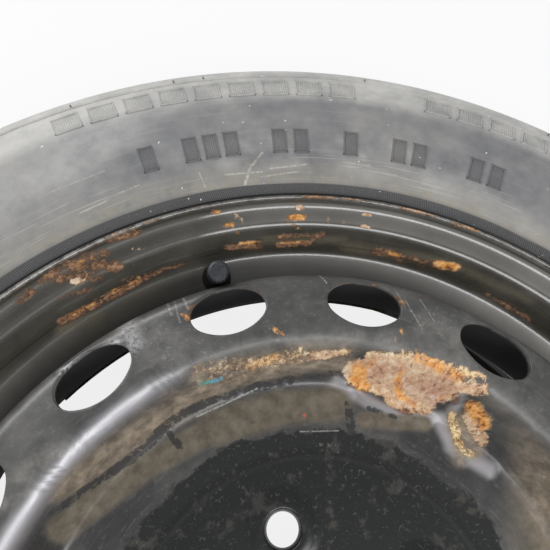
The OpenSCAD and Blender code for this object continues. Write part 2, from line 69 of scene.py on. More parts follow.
def bent_line(path, straight, bend, fine_to=999, coarse=6):
    """Rows of radius, height, normal to the left and length run, along a line with round bends."""
    points = [np.array(p[:2], float) for p in path]
    rows = []

    def add(p, left):
        run = rows[-1][4] + math.dist(p, rows[-1][:2]) if rows else 0.0
        rows.append([*p, *left, run])

    start = points[0]
    for i in range(1, len(points)):
        way = (points[i] - points[i - 1]) / math.dist(points[i], points[i - 1])
        left = np.array([-way[1], way[0]])
        end, turn = points[i], 0.0
        if i < len(points) - 1:
            out = (points[i + 1] - points[i]) / math.dist(points[i + 1], points[i])
            side = math.copysign(1, way[0] * out[1] - way[1] * out[0])
            turn = math.acos(max(-1, min(1, float(way @ out))))
            end = points[i] - way * path[i][2] * math.tan(turn / 2)
        pace = straight if not rows or rows[-1][4] < fine_to else coarse
        steps = max(1, math.ceil(math.dist(start, end) / pace))
        for k in range(0 if i == 1 else 1, steps + 1):
            add(start + (end - start) * k / steps, left)
        if turn:
            centre = end + left * side * path[i][2]
            steps = max(1, math.ceil(math.degrees(turn) / bend))
            for k in range(1, steps + 1):
                n = turned(left, side * turn * k / steps)
                add(centre - n * side * path[i][2], n)
            start = np.array(rows[-1][:2])
    return np.array(rows)


def face_of(line, lift):
    """One face of a sheet: rows of radius, height and the length run along that face."""
    face = line[:, :2] - line[:, 2:4] * lift
    run = np.concatenate([[0], np.cumsum(np.hypot(*np.diff(face, axis=0).T))])
    return np.column_stack([face, run])


def sheet_loop(shown, hidden, thickness, tip):
    """Closed outline of a sheet whose two cut edges are slightly rounded."""
    half = thickness / 2
    front, back = shown[:, :2] - shown[:, 2:4] * half, hidden[:, :2] + hidden[:, 2:4] * half
    caps = []
    for end, out in ((-1, 1), (0, -1)):
        row = shown[end]
        way, across = np.array([row[3], -row[2]]) * out, row[2:4] * half
        mid = row[:2] - way * tip
        turns = np.radians([60, 20, -20, -60])
        caps.append([mid + way * tip * math.cos(a) - out * across * math.sin(a) for a in turns])
        front[end], back[end] = mid - across, mid + across
    return np.vstack([front, caps[0], back[::-1], caps[1]])


def join(socket, value):
    """Links a socket to another one, or sets its plain value."""
    if isinstance(value, bpy.types.NodeSocket):
        socket.id_data.links.new(value, socket)
    else:
        socket.default_value = value


def feed(node, **given):
    """Gives a node its inputs, each by its name with _ for a space."""
    for key, value in given.items():
        join(next(s for s in node.inputs if s.name == key.replace("_", " ") and s.enabled), value)


def put(tree, kind, fixed=(), **given):
    """Adds a node to a tree, with its settings and its inputs."""
    node = tree.nodes.new(kind)
    for key, value in dict(fixed).items():
        setattr(node, key, value)
    feed(node, **given)
    return node


def new_group(name, kind, inputs, outputs):
    """A node group with named input and output sockets. An input can have a value of its own."""
    tree = bpy.data.node_groups.new(name, kind + "NodeTree")
    for way, sockets in (("INPUT", inputs), ("OUTPUT", outputs)):
        for label, sort, *value in sockets:
            socket = tree.interface.new_socket(label, in_out=way, socket_type="NodeSocket" + sort)
            if value:
                socket.default_value = value[0]
    return tree, tree.nodes.new("NodeGroupInput").outputs, tree.nodes.new("NodeGroupOutput")


def in_scene(name, data):
    """A new object in the scene."""
    made = bpy.data.objects.new(name, data)
    bpy.context.scene.collection.objects.link(made)
    return made


def finished(holder):
    """The plain mesh that an object's modifiers make. The object is removed."""
    bpy.context.view_layer.update()
    made = bpy.data.meshes.new_from_object(holder.evaluated_get(bpy.context.evaluated_depsgraph_get()))
    bpy.data.objects.remove(holder)
    return made


def grown(tree, base, name, **sizes):
    """The plain mesh that a node group makes of a base mesh, with the group's inputs set by name."""
    holder = in_scene(name, base)
    modifier = holder.modifiers.new(name, "NODES")
    modifier.node_group = tree
    by_name = {s.name: s.identifier for s in tree.interface.items_tree if s.in_out == "INPUT"}
    for label, value in sizes.items():
        modifier[by_name[label.replace("_", " ")]] = value
    made = finished(holder)
    made.name = name
    return made


def delivered(shape, given, out):
    """Ends a node group: the shape is made real, gets its finish and is handed out."""
    shape = put(out.id_data, "GeometryNodeRealizeInstances", Geometry=shape.outputs[0])
    shape = put(out.id_data, "GeometryNodeSetMaterial", Geometry=shape.outputs[0], Material=given["Finish"])
    feed(out, Geometry=shape.outputs[0])


def smoothed(mesh, sharp):
    """Smooth shading, but for edges sharper than an angle in degrees."""
    mesh.shade_smooth()
    mesh.set_sharp_from_angle(angle=math.radians(sharp))
    return mesh


def cleaned(mesh):
    """Doubles merged, faces turned outwards and smooth shading."""
    work = bmesh.new()
    work.from_mesh(mesh)
    bmesh.ops.remove_doubles(work, verts=work.verts, dist=0.000002)
    bmesh.ops.recalc_face_normals(work, faces=work.faces)
    work.to_mesh(mesh)
    work.free()
    return smoothed(mesh, 40)


def mesh_of(name, points, faces):
    """A clean mesh from points in millimetres."""
    mesh = bpy.data.meshes.new(name)
    mesh.from_pydata((np.asarray(points, float) * mm).tolist(), [], [list(map(int, f)) for f in faces])
    return cleaned(mesh)


def piece(name, mesh, material, body="wheel", stands_for=()):
    """Shows a finished mesh as a piece that rides on a body."""
    mesh.materials.clear()
    mesh.materials.append(material)
    shown = in_scene(name, mesh)
    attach(shown, body)
    if stands_for:
        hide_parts(*stands_for)


# the camera: its place in mm, its directions right, up and ahead, its focal length and middle in pixels
eye = np.array([-12.25361, 90.88346, 236.05824])
sight = np.array([
    [0.95709369, -0.27999919, 0.07464669], [0.23484501, 0.9003905, 0.3662578],
    [0.16976306, 0.33301262, -0.92751447],
])
focal, middle = 465.26, 273.5
picture = 550


def shown_at(points):
    """Where points in mm show in the picture, in pixels from its left and top edge."""
    across, up, ahead = ((np.asarray(points) - eye) @ sight.T).T
    ahead = np.where(ahead > 20, ahead, np.nan)
    return np.nan_to_num(
        np.array([middle + focal * across / ahead, middle - focal * up / ahead]), nan=-9999.0
    )


def beyond_picture(u, v, right=picture, top=0):
    """How far places lie out of the picture, from 0 at its edge to 1 at 40 pixels."""
    return np.clip(np.maximum(np.maximum(-u, u - right), np.maximum(top - v, v - picture)) / 40, 0, 1)


def places(mesh):
    """The vertices of a mesh in mm, one row each."""
    co = np.empty(len(mesh.vertices) * 3)
    mesh.vertices.foreach_get("co", co)
    return co.reshape(-1, 3) / mm


def corners(mesh):
    """Angle in degrees clockwise from the valve, radius and height of each vertex, in mm."""
    x, y, z = places(mesh).T
    return np.degrees(np.arctan2(x, y)), np.hypot(x, y), z


def strokes(points, marks, soft=0.6):
    """How strongly brush strokes of the picture cover points: u, v to u, v, half width and strength."""
    u, v = shown_at(points)
    cover = np.zeros(len(u))
    for u1, v1, u2, v2, half, strength in marks:
        du, dv = u2 - u1, v2 - v1
        t = np.clip(((u - u1) * du + (v - v1) * dv) / max(du * du + dv * dv, 1e-6), 0, 1)
        off = np.hypot(u - u1 - t * du, v - v1 - t * dv) / half
        rim = np.clip((1 + soft - off) / (2 * soft), 0, 1)
        cover = np.maximum(cover, strength * rim * rim * (3 - 2 * rim))
    return cover


def drift(angle, seed, lumps=7):
    """A number from 0 to 1 that wanders slowly round the wheel."""
    a = np.radians(angle)
    return 0.5 + sum(np.sin(a * k + seed * k * k) for k in range(2, 2 + lumps)) / (1.6 * lumps)


def on_face(face, radius, height):
    """For points near a face: the length run along it, and how far off it they are."""
    run, off = np.empty((2, len(radius)))
    for k in range(0, len(radius), 4000):
        part = slice(k, k + 4000)
        gap = (radius[part, None] - face[:, 0]) ** 2 + (height[part, None] - face[:, 1]) ** 2
        run[part], off[part] = face[gap.argmin(1), 2], np.sqrt(gap.min(1))
    return run, off


def give(mesh, **values):
    """Keeps numbers on a mesh's vertices for its material to read."""
    for name, numbers in values.items():
        full = np.full(len(mesh.vertices), numbers, np.float32)
        mesh.attributes.new(name, "FLOAT", "POINT").data.foreach_set("value", full)


def tree_of(*values):
    """The tree that the first socket among some values belongs to."""
    return next(v.id_data for v in values if isinstance(v, bpy.types.NodeSocket))


def maths(sort, *values, kind="ShaderNodeMath", **fixed):
    """One step of arithmetic on sockets and plain numbers."""
    node = put(tree_of(*values), kind, {"operation": sort, **fixed})
    for socket, value in zip([s for s in node.inputs if s.enabled], values):
        join(socket, value)
    return next(s for s in node.outputs if s.enabled)


times, plus, minus, most = (partial(maths, sort) for sort in ("MULTIPLY", "ADD", "SUBTRACT", "MAXIMUM"))
scaled = partial(maths, "MULTIPLY_ADD")


def blend_of(factor, a, b, sort="MIX"):
    """Mixes two colours."""
    fixed = {"data_type": "RGBA", "blend_type": sort}
    return put(tree_of(factor, a, b), "ShaderNodeMix", fixed, Factor=factor, A=a, B=b).outputs[2]


def level_of(factor, a, b):
    """Mixes two numbers."""
    return put(factor.id_data, "ShaderNodeMix", {"data_type": "FLOAT"}, Factor=factor, A=a, B=b).outputs[0]


def step_of(value, low, high):
    """A soft step from 0 at low to 1 at high."""
    fixed = {"interpolation_type": "SMOOTHSTEP"}
    return put(
        value.id_data, "ShaderNodeMapRange", fixed, Value=value, From_Min=low, From_Max=high
    ).outputs[0]


def cloud(vector, scale, detail=4.0, rough=0.55, twist=0.0):
    """Noise from 0 to 1 at so many lumps a metre."""
    sizes = {"Scale": scale, "Detail": detail, "Roughness": rough, "Distortion": twist}
    return put(vector.id_data, "ShaderNodeTexNoise", Vector=vector, **sizes).outputs[0]


def ramp_of(value, stops):
    """A colour for each level of a value."""
    node = put(value.id_data, "ShaderNodeValToRGB", Fac=value)
    line = node.color_ramp
    while len(line.elements) < len(stops):
        line.elements.new(0.5)
    for element, (place, colour) in zip(line.elements, stops):
        element.position = place
        element.color = (*colour, 1)
    return node.outputs[0]


def grey_of(value, low, high):
    """A grey that follows a value, low at 0.2 and high at 0.8."""
    return ramp_of(value, [(0.2, (low,) * 3), (0.8, (high,) * 3)])


def kept(at, name):
    """A number that give() left on the mesh."""
    return put(at.id_data, "ShaderNodeAttribute", {"attribute_name": name}).outputs["Fac"]


def masks(at, *names):
    """Several kept numbers, as inputs of the weathering."""
    return {name.title(): kept(at, name) for name in names}


def new_finish(name, **plain):
    """A material with a Principled shader whose plain sockets are set directly."""
    finish = bpy.data.materials.new(name)
    finish.use_nodes = True
    tree = finish.node_tree
    tree.nodes.clear()
    skin = put(tree, "ShaderNodeBsdfPrincipled", **plain)
    put(tree, "ShaderNodeOutputMaterial", Surface=skin.outputs[0])
    return finish, skin, put(tree, "ShaderNodeTexCoord").outputs["Object"]


def weathered_metal():
    """Paint under rust, bright new rust, pale scale and dust. Masks say where, noise breaks them up."""
    inputs = [
        ("Vector", "Vector"), ("Paint", "Color", (0.03, 0.03, 0.03, 1)), ("Gloss", "Float", 0.25),
        ("Rust", "Float", 0.0), ("Orange", "Float", 0.0), ("Crust", "Float", 0.0),
        ("Scale Tint", "Color", (1, 1, 1, 1)), ("Film", "Float", 0.0),
        ("Film Color", "Color", (0.26, 0.24, 0.18, 1)), ("Specks", "Float", 0.3),
    ]
    outputs = [("Color", "Color"), ("Roughness", "Float"), ("Height", "Float")]
    tree, given, out = new_group("weathered paint", "Shader", inputs, outputs)
    at = given["Vector"]
    lumps, fine, grit = cloud(at, 120, 5, 0.62, 0.5), cloud(at, 480, 5, 0.7, 0.2), cloud(at, 1500, 4, 0.65)
    tone = plus(times(fine, 0.6), times(grit, 0.4))
    patchy = scaled(plus(times(lumps, 0.55), times(fine, 0.45)), 6.0, -2.05)
    grainy = scaled(tone, 3.6, -0.8)

    def cover(mask, unevenness, low, high):
        return step_of(times(given[mask], unevenness), low, high)

    stain, rust = cover("Rust", patchy, 0.1, 0.6), cover("Rust", patchy, 0.3, 0.95)
    fresh = cover("Orange", patchy, 0.2, 0.95)
    crust = cover("Crust", grainy, 0.3, 0.62)
    film = times(given["Film"], scaled(plus(lumps, tone), 1.3, -0.35, use_clamp=True))
    specks = times(given["Specks"], step_of(grit, 0.64, 0.74))
    blotched = scaled(plus(times(lumps, 0.4), times(fine, 0.6)), 1.5, -0.25)
    brown = ramp_of(tone, [
        (0.3, (0.05, 0.025, 0.014)), (0.42, (0.16, 0.08, 0.042)), (0.54, (0.32, 0.175, 0.095)),
        (0.68, (0.52, 0.35, 0.22)),
    ])
    pale = ramp_of(blotched, [
        (0.28, (0.26, 0.13, 0.07)), (0.4, (0.54, 0.33, 0.2)), (0.54, (0.72, 0.51, 0.34)),
        (0.64, (0.82, 0.66, 0.49)), (0.74, (0.9, 0.83, 0.71)),
    ])
    bright = ramp_of(blotched, [
        (0.28, (0.34, 0.09, 0.02)), (0.42, (0.66, 0.22, 0.04)), (0.54, (0.79, 0.37, 0.1)),
        (0.68, (0.88, 0.58, 0.27)),
    ])
    pale = blend_of(1.0, pale, given["Scale Tint"], "MULTIPLY")
    colour = blend_of(film, given["Paint"], given["Film Color"])
    colour = blend_of(specks, colour, (0.6, 0.57, 0.46, 1))
    colour = blend_of(times(stain, 0.75), colour, (0.075, 0.047, 0.03, 1))
    for covered, tones in ((rust, brown), (crust, pale), (fresh, bright)):
        colour = blend_of(covered, colour, tones)
    rough = most(most(rust, crust), fresh)
    dull = level_of(most(film, times(stain, 0.6)), given["Gloss"], 0.75)
    rise = plus(times(rough, plus(tone, 0.2)), times(plus(specks, film), 0.15))
    feed(out, Color=colour, Roughness=level_of(rough, dull, 0.9), Height=rise)
    return tree


def group_in(group, **given):
    """Places a node group in the tree that its vector comes from."""
    return put(given["Vector"].id_data, "ShaderNodeGroup", {"node_tree": group}, **given).outputs


weather = partial(group_in, weathered_metal())


def bumped(height, distance, strength=1.0, **under):
    """A normal raised by a height that is given from 0 to 1, distance metres high."""
    return put(
        height.id_data, "ShaderNodeBump", Strength=strength, Distance=distance, Height=height, **under
    ).outputs[0]


def scratch_line():
    """A group that marks a thin straight scratch between two places, seen along the axle."""
    inputs = [("Vector", "Vector"), ("From", "Vector"), ("To", "Vector"), ("Width", "Float", 0.001)]
    tree, given, out = new_group("thin scratch", "Shader", inputs, [("Mask", "Float")])
    vectors = partial(maths, kind="ShaderNodeVectorMath")
    gap = vectors("SUBTRACT", vectors("MULTIPLY", given["Vector"], (1, 1, 0)), given["From"])
    way = vectors("SUBTRACT", given["To"], given["From"])
    share = maths(
        "DIVIDE", vectors("DOT_PRODUCT", gap, way), vectors("DOT_PRODUCT", way, way), use_clamp=True
    )
    off = vectors("LENGTH", vectors("SUBTRACT", gap, vectors("SCALE", way, share)))
    feed(out, Mask=minus(1.0, step_of(maths("DIVIDE", off, given["Width"]), 0.2, 1.0)))
    return tree


thin_scratch = scratch_line()


def scratched(at, marks):
    """Covers the places of straight scratches: x, y to x, y and half width in mm, strength."""
    cover = 0.0
    for x1, y1, x2, y2, half, strength in marks:
        ends = {"From": (x1 * mm, y1 * mm, 0), "To": (x2 * mm, y2 * mm, 0)}
        line = group_in(thin_scratch, Vector=at, Width=half * mm, **ends)["Mask"]
        cover = most(times(line, strength), cover)
    return times(cover, step_of(cloud(at, 700, 3, 0.7), 0.36, 0.56))


def round_axle():
    """A group that turns a place into a place on streaks round the axle, stretched along the circle."""
    inputs = [("Vector", "Vector"), ("Stretch", "Float", 10.0)]
    tree, given, out = new_group("round the axle", "Shader", inputs, [("Vector", "Vector")])
    x, y, z = put(tree, "ShaderNodeSeparateXYZ", Vector=given["Vector"]).outputs
    along = maths("DIVIDE", times(maths("ARCTAN2", x, y), 0.2), given["Stretch"])
    radius = maths("SQRT", plus(times(x, x), times(y, y)))
    feed(out, Vector=put(tree, "ShaderNodeCombineXYZ", X=along, Y=radius, Z=z).outputs[0])
    return tree


streak_places = round_axle()


def streaks(at, stretch, scale, low, high):
    """Streaks round the axle, from 0 to 1."""
    return step_of(
        cloud(group_in(streak_places, Vector=at, Stretch=stretch)["Vector"], scale, 3, 0.6), low, high
    )


rim_line = bent_line(rim_path, 1.8, 9, 42)
rim_loop = sheet_loop(rim_line, bent_line(rim_path, 9, 18), rim_sheet, 0.7)
hoop, given, out = new_group(
    "rolled hoop", "Geometry",
    [("Geometry", "Geometry"), ("Hoop Radius", "Float"), ("Columns", "Int"), ("Finish", "Material")],
    [("Geometry", "Geometry")],
)
ring = put(hoop, "GeometryNodeCurvePrimitiveCircle", Resolution=given["Columns"], Radius=given["Hoop Radius"])
outline = put(hoop, "GeometryNodeMeshToCurve", Mesh=given["Geometry"])
swept = put(hoop, "GeometryNodeCurveToMesh", Curve=ring.outputs[0], Profile_Curve=outline.outputs[0])
delivered(swept, given, out)

hoop_radius = 190.0
loop_mesh = bpy.data.meshes.new("rim outline")
loop_points = [((r - hoop_radius) * mm, -(z + rim_middle) * mm, 0) for r, z in rim_loop]
loop_mesh.from_pydata(loop_points, [(i, (i + 1) % len(rim_loop)) for i in range(len(rim_loop))], [])

rim_rust = [  # brush strokes in the picture: from, to, half width, strength
    (82, 244, 116, 227, 4, 0.8), (116, 227, 155, 219, 3.5, 0.8), (84, 258, 106, 254, 5, 0.7),
    (109, 238, 139, 231, 5, 0.8), (183, 208, 205, 206, 2.5, 0.7), (225, 248, 260, 246, 3, 0.9),
    (69, 266, 118, 266, 6, 0.85), (126, 280, 158, 272, 3, 0.8), (158, 272, 182, 264, 2.4, 0.7),
    (60, 322, 109, 297, 4, 0.95), (109, 297, 144, 278, 4, 1), (60, 279, 100, 276, 5, 0.8),
    (303, 196, 334, 197, 2.6, 1), (341, 198, 378, 200, 2, 0.95), (402, 207, 438, 216, 2.6, 0.95),
    (454, 223, 500, 234, 3.2, 1), (277, 245, 312, 243, 3, 1), (278, 237, 306, 235, 2.4, 0.9),
    (313, 237, 322, 235, 3.5, 0.85), (376, 251, 400, 256, 4, 0.95), (400, 257, 444, 268, 5, 0.5),
    (238, 232, 239, 232, 2, 0.8), (20, 300, 60, 268, 5, 0.7), (480, 290, 530, 320, 3, 0.6),
    (60, 296, 90, 290, 3, 0.6),
]
rim_orange = [
    (304, 194.5, 322, 195, 1.6, 0.9), (110, 233, 130, 227, 2.2, 0.6), (287, 218, 303, 217, 3, 1),
    (289, 222, 299, 229, 1.1, 0.9), (391, 254, 399, 256, 2.2, 0.9), (438, 264, 456, 267, 3.8, 1),
    (224, 225, 232, 225, 2.5, 0.8), (213, 212, 220, 212, 2.3, 0.75), (460, 226, 480, 231, 1.6, 0.8),
    (76, 262, 96, 258, 2, 0.5), (70, 316, 96, 302, 2, 0.6), (112, 292, 140, 278, 2, 0.6),
    (240, 243, 262, 242, 1.6, 0.7), (280, 243, 300, 242, 1.6, 0.5), (412, 210, 430, 213, 1.3, 0.6),
]
rim_crust = [
    (297, 207, 302, 208, 3, 0.8), (363, 214, 371, 215, 2.2, 0.8), (363, 226, 367, 227, 1.8, 1),
    (341, 217, 345, 225, 1.5, 0.5), (328, 217, 331, 228, 2, 0.5), (235, 215, 244, 222, 3, 0.55),
    (74, 281, 82, 281, 3, 1), (132, 249, 144, 249, 1.6, 0.6), (372, 270, 374, 272, 1, 1),
    (129, 263, 135, 265, 1, 0.6), (82, 272, 102, 273, 2.4, 0.4), (404, 207, 436, 215, 1.6, 0.6),
    (458, 225, 500, 235, 1.8, 0.6), (345, 198, 376, 200, 1, 0.6), (100, 238, 128, 230, 2, 0.4),
]
rim_film = [
    (345, 246, 445, 262, 6, 0.7), (265, 241, 345, 240, 5, 0.6), (60, 345, 163, 285, 9, 0.6),
    (445, 262, 530, 300, 6, 0.5), (60, 330, 100, 315, 5, 0.9), (163, 285, 210, 262, 6, 0.3),
    (270, 214, 480, 240, 7, 0.25), (330, 262, 440, 290, 6, 0.3),
]
rim_finish, skin, at = new_finish("rim paint", Specular_IOR_Level=0.5, Coat_Roughness=0.12)
patches = cloud(at, 26, 5, 0.6)
paint = ramp_of(
    patches, [(0.3, (0.012, 0.012, 0.013)), (0.5, (0.022, 0.022, 0.022)), (0.7, (0.06, 0.058, 0.053))]
)
paint = blend_of(times(streaks(at, 14, 420, 0.56, 0.72), 0.35), paint, (0.12, 0.118, 0.11, 1))
# painted sheen: a lighter grey on the well's ledge, stronger to the right, and on the flat inside the flange,
# stands for reflected light
paint = blend_of(
    times(kept(at, "rubbed"), scaled(patches, 1.0, 0.35, use_clamp=True)), paint, (0.3, 0.297, 0.283, 1)
)
# painted shade: the rim's hidden faces, seen through the vents, are painted near black for the shade inside
# the wheel
paint = blend_of(maths("GREATER_THAN", kept(at, "hidden"), 0.5), paint, (0.006, 0.006, 0.006, 1))
look = weather(
    Vector=at, Paint=paint, Gloss=0.22, Film_Color=(0.15, 0.13, 0.085, 1), Specks=0.3,
    **masks(at, "rust", "orange", "crust", "film"),
)
# the lip's cut edge: steel worn bare all round, and a painted highlight that grows towards the left
bright_edge = times(kept(at, "bare"), step_of(cloud(at, 300, 3), 0.3, 0.6))
feed(skin, Base_Color=blend_of(bright_edge, look["Color"], (0.42, 0.4, 0.37, 1)))
dull = most(kept(at, "hidden"), kept(at, "matt"))
feed(skin, Roughness=most(look["Roughness"], dull))
gloss = minus(1.0, most(times(dull, 1.6), step_of(look["Roughness"], 0.3, 0.7)), use_clamp=True)
feed(skin, Coat_Weight=gloss)
wrinkle = bumped(cloud(at, 260, 2), 0.00003, 0.6)
feed(skin, Normal=bumped(look["Height"], 0.0005, 1.0, Normal=wrinkle))

rim_mesh = grown(
    hoop, loop_mesh, "rim_band", Hoop_Radius=hoop_radius * mm, Columns=rim_columns, Finish=rim_finish
)
cleaned(rim_mesh)

# the valve's hole, square to the outer wall of the well
valve_lean = math.radians(15)
hole_middle = Vector((0, 178.4, 5.997))
punch = bmesh.new()
bmesh.ops.create_cone(punch, cap_ends=True, segments=48, radius1=5.75 * mm, radius2=5.75 * mm, depth=12 * mm)
punch.transform(Matrix.Translation(hole_middle * mm) @ Matrix.Rotation(valve_lean, 4, "X"))
punch_mesh = bpy.data.meshes.new("valve punch")
punch.to_mesh(punch_mesh)
punch.free()
punch_object, rim_holder = in_scene("valve punch", punch_mesh), in_scene("rim holder", rim_mesh)
cut = rim_holder.modifiers.new("valve hole", "BOOLEAN")
cut.object, cut.operation, cut.solver = punch_object, "DIFFERENCE", "EXACT"
rim_mesh = finished(rim_holder)
bpy.data.objects.remove(punch_object)

rim_face = face_of(rim_line, rim_sheet / 2)
rim_face[:, 1] += rim_middle
angle, radius, height = corners(rim_mesh)
spots = places(rim_mesh)
run, off = on_face(rim_face, radius, height)
near = off < 1.5
upper = near * (height > -12)
u, v = shown_at(spots)
beyond = beyond_picture(u, v)
lip_rust = drift(angle, 1.3) * np.exp(-((run - 4) / 3.5) ** 2)
shelf_rust = drift(angle, 2.1) * np.exp(-((run - 33) / 5) ** 2)
rust = np.maximum(strokes(spots, rim_rust, 0.8), beyond * np.maximum(lip_rust, shelf_rust) * 1.1)
# where the painted sheen lies: the ledge below the seat and the flat inside the flange
rubbed = np.maximum(np.clip((radius - 173) / 11, 0, 1) * (height < 9.5), 0.5 * (np.abs(radius - 198) < 4.5))
give(
    rim_mesh,
    rust=rust * upper + 0.5 * drift(angle, 0.7) * near * (height < -12),
    orange=np.maximum(strokes(spots, rim_orange, 0.9), beyond * (lip_rust - 0.55)) * upper,
    crust=np.maximum(strokes(spots, rim_crust, 0.9), beyond * (shelf_rust - 0.5)) * upper,
    film=np.maximum(strokes(spots, rim_film, 1.0), 0.22 + 0.3 * beyond * shelf_rust) * upper,
    rubbed=upper * np.clip((u - 190) / 90, 0.25, 1) * rubbed,
    # worn lip edge, with a painted highlight added towards the left
    bare=near * np.exp(-((run - 0.5) / 0.8) ** 2) * (0.5 + 0.5 * np.clip((190 - u) / 60, 0, 1)),
    matt=0.55 * np.clip((222 - u) / 25, 0, 1) * (run > 3),
    # hidden faces: painted near black as shade, and dull
    hidden=np.where(upper, 0.0, 1.0),
)
piece("rim_band_rolled", rim_mesh, rim_finish, stands_for=["rim_band"])


# ---- Wheel disc ---------------------------------------------------------------------------------
# A 3.2 mm steel blank, pressed in one stroke into flange, vented face, bowl and nave, then punched
# with fifteen vents, five coned bolt seats and the bore. Its black paint is scuffed, dusty and rusty.

disc_sheet = 3.2
disc_path = [
    (165.4, -5, 0), (165.4, 29.9, 8.4), (132.5, 36.8, 9), (120, 4.6, 8), (97, 4.6, 10), (88, 1.6, 10),
    (28.55, 1.6, 0),
]
vents, vent_circle, vent_height = 15, 151.4, 32.836
vent_long, vent_wide, vent_round, vent_side, vent_join = 17.4, 12.0, 9.0, 22.256, 14.10
face_slope = math.radians(11.845)
bolts, bolt_circle = 5, 56.0
bore, nave_inner, nave_outer = 28.55, 36, 78
disc_line = bent_line(disc_path, 0.6, 3)
disc_end = disc_line[-1, 4]
disc_face = face_of(disc_line, disc_sheet / 2)
nave_start = disc_end - (nave_outer - bore)


def on_disc(turn, run, lift):
    """Points on the pressed sheet: turn in degrees, run from the flange's end, lift from mid sheet."""
    r, z, nr, nz = (np.interp(run, disc_line[:, 4], disc_line[:, k]) for k in range(4))
    long = np.hypot(nr, nz)
    r, z = r - nr / long * lift, z - nz / long * lift
    a = np.radians(turn)
    return np.column_stack([r * np.sin(a), r * np.cos(a), z])


def vent_outline(turn):
    """Distance from a vent's middle to its outline, in the direction turn (radians from the long axis)."""
    best = np.zeros(len(turn))
    x, y = np.abs(np.cos(turn)), np.abs(np.sin(turn))
    for cx, cy, r in ((vent_long - vent_round, 0, vent_round), (0, vent_wide - vent_side, vent_side)):
        along = x * cx + y * cy
        reach = along + np.sqrt(np.maximum(along**2 - (cx * cx + cy * cy) + r * r, 0))
        use = (x * reach > vent_join) if cy == 0 else (x * reach <= vent_join)
        best = np.where(use & (reach > best), reach, best)
    return best


def vent_on_face(x, y, lift):
    """Where a vent's outline point lies on a face of the sheet: turn in degrees and run."""
    r = disc_line[:, 0] - disc_line[:, 2] * lift
    z = disc_line[:, 1] - disc_line[:, 3] * lift
    pick = (disc_line[:, 4] > 23) & (disc_line[:, 4] < 87)
    turns, runs = [], []
    for px, py in zip(x, y):
        deep = np.sqrt(r[pick] ** 2 - px * px)
        across = (deep - vent_circle) * math.cos(face_slope) - (z[pick] - vent_height) * math.sin(face_slope)
        order = np.argsort(across)
        run = np.interp(py, across[order], disc_line[pick, 4][order])
        turns.append(math.degrees(math.atan2(px, np.interp(run, disc_line[pick, 4], deep))))
        runs.append(run)
    return np.array(turns), np.array(runs)


vent_low, vent_high = disc_line[disc_line[:, 1] >= 21.5][0, 4], 81.0
on_top = disc_line[disc_line[:, 1] > 29]
vent_mid = float(np.interp(-vent_circle, -on_top[:, 0], on_top[:, 4]))
around = np.concatenate([
    np.column_stack([np.arange(-12, 12), np.full(24, vent_low)]),
    np.column_stack([np.full(24, 12.0), np.linspace(vent_low, vent_high, 25)[:-1]]),
    np.column_stack([np.arange(12, -12, -1), np.full(24, vent_high)]),
    np.column_stack([np.full(24, -12.0), np.linspace(vent_high, vent_low, 25)[:-1]]),
])
towards = np.arctan2(vent_mid - around[:, 1], np.radians(around[:, 0]) * vent_circle)
reach = vent_outline(towards)
hole_x, hole_y = reach * np.cos(towards), reach * np.sin(towards)

pocket_ridge = [  # brush strokes in the picture, with a height in mm as the strength
    (336, 379, 357, 390, 3.5, 0.7), (357, 390, 367, 399, 4, 0.8), (367, 399, 395, 413, 4.5, 0.8),
    (395, 413, 422, 418, 5, 0.9), (422, 418, 446, 419, 6, 1), (446, 419, 457, 405, 4.5, 0.9),
    (457, 405, 463, 389, 4, 0.8), (441, 424, 452, 446, 6, 0.9), (452, 446, 490, 470, 7, 0.9),
]
pocket_scale = [
    (356, 372, 400, 376, 14, 1), (400, 380, 440, 386, 18, 1), (372, 358, 420, 360, 8, 1),
    (425, 368, 456, 384, 11, 1), (392, 398, 430, 402, 11, 1), (462, 388, 484, 390, 8, 1),
    (375, 385, 395, 392, 9, 1), (472, 415, 484, 430, 12, 1), (458, 425, 466, 448, 8, 0.8),
]


def raised(turn, run):
    """Swelling of the disc's outer face: ridges round the rusty pockets, and lumpy scale inside them."""
    spots = on_disc(turn, run, disc_sheet / 2)
    scale = strokes(spots, pocket_scale, 0.6)
    lumps = np.zeros(len(spots))
    for k in np.flatnonzero(scale > 0.02):
        x, y, z = spots[k]
        lumps[k] = fractal(Vector((x, y, z * 0.5)) * 0.4, 1.0, 2.1, 4)
    return strokes(spots, pocket_ridge, 0.9) + scale * (0.3 + 0.65 * lumps)


disc_points, disc_faces = [], []


def quads(a, b, n):
    """Faces between two closed rows of n points that start at a and b."""
    return [(a + i, a + (i + 1) % n, b + (i + 1) % n, b + i) for i in range(n)]


def patch(rows):
    """Adds closed rows of points with quads between them, and says where the first row starts."""
    start, n = sum(len(p) for p in disc_points), len(rows[0])
    disc_points.extend(rows)
    for j in range(len(rows) - 1):
        disc_faces.extend(quads(start + j * n, start + (j + 1) * n, n))
    return start


def band(turns, runs, lift, relief=False):
    """A closed band of the sheet's face between rows at the given runs."""
    rows = []
    for run in runs:
        s = np.full(len(turns), float(run))
        rows.append(on_disc(turns, s, lift + (raised(turns, s) if relief else 0)))
    return patch(rows)


def splice(coarse, fine, count):
    """Joins a closed row of count points to one of twice as many."""
    for k in range(count):
        a, b, c = coarse + k, coarse + (k + 1) % count, fine + 2 * k
        disc_faces.extend([(a, c, c + 1), (a, c + 1, b), (b, c + 1, fine + (2 * k + 2) % (2 * count))])


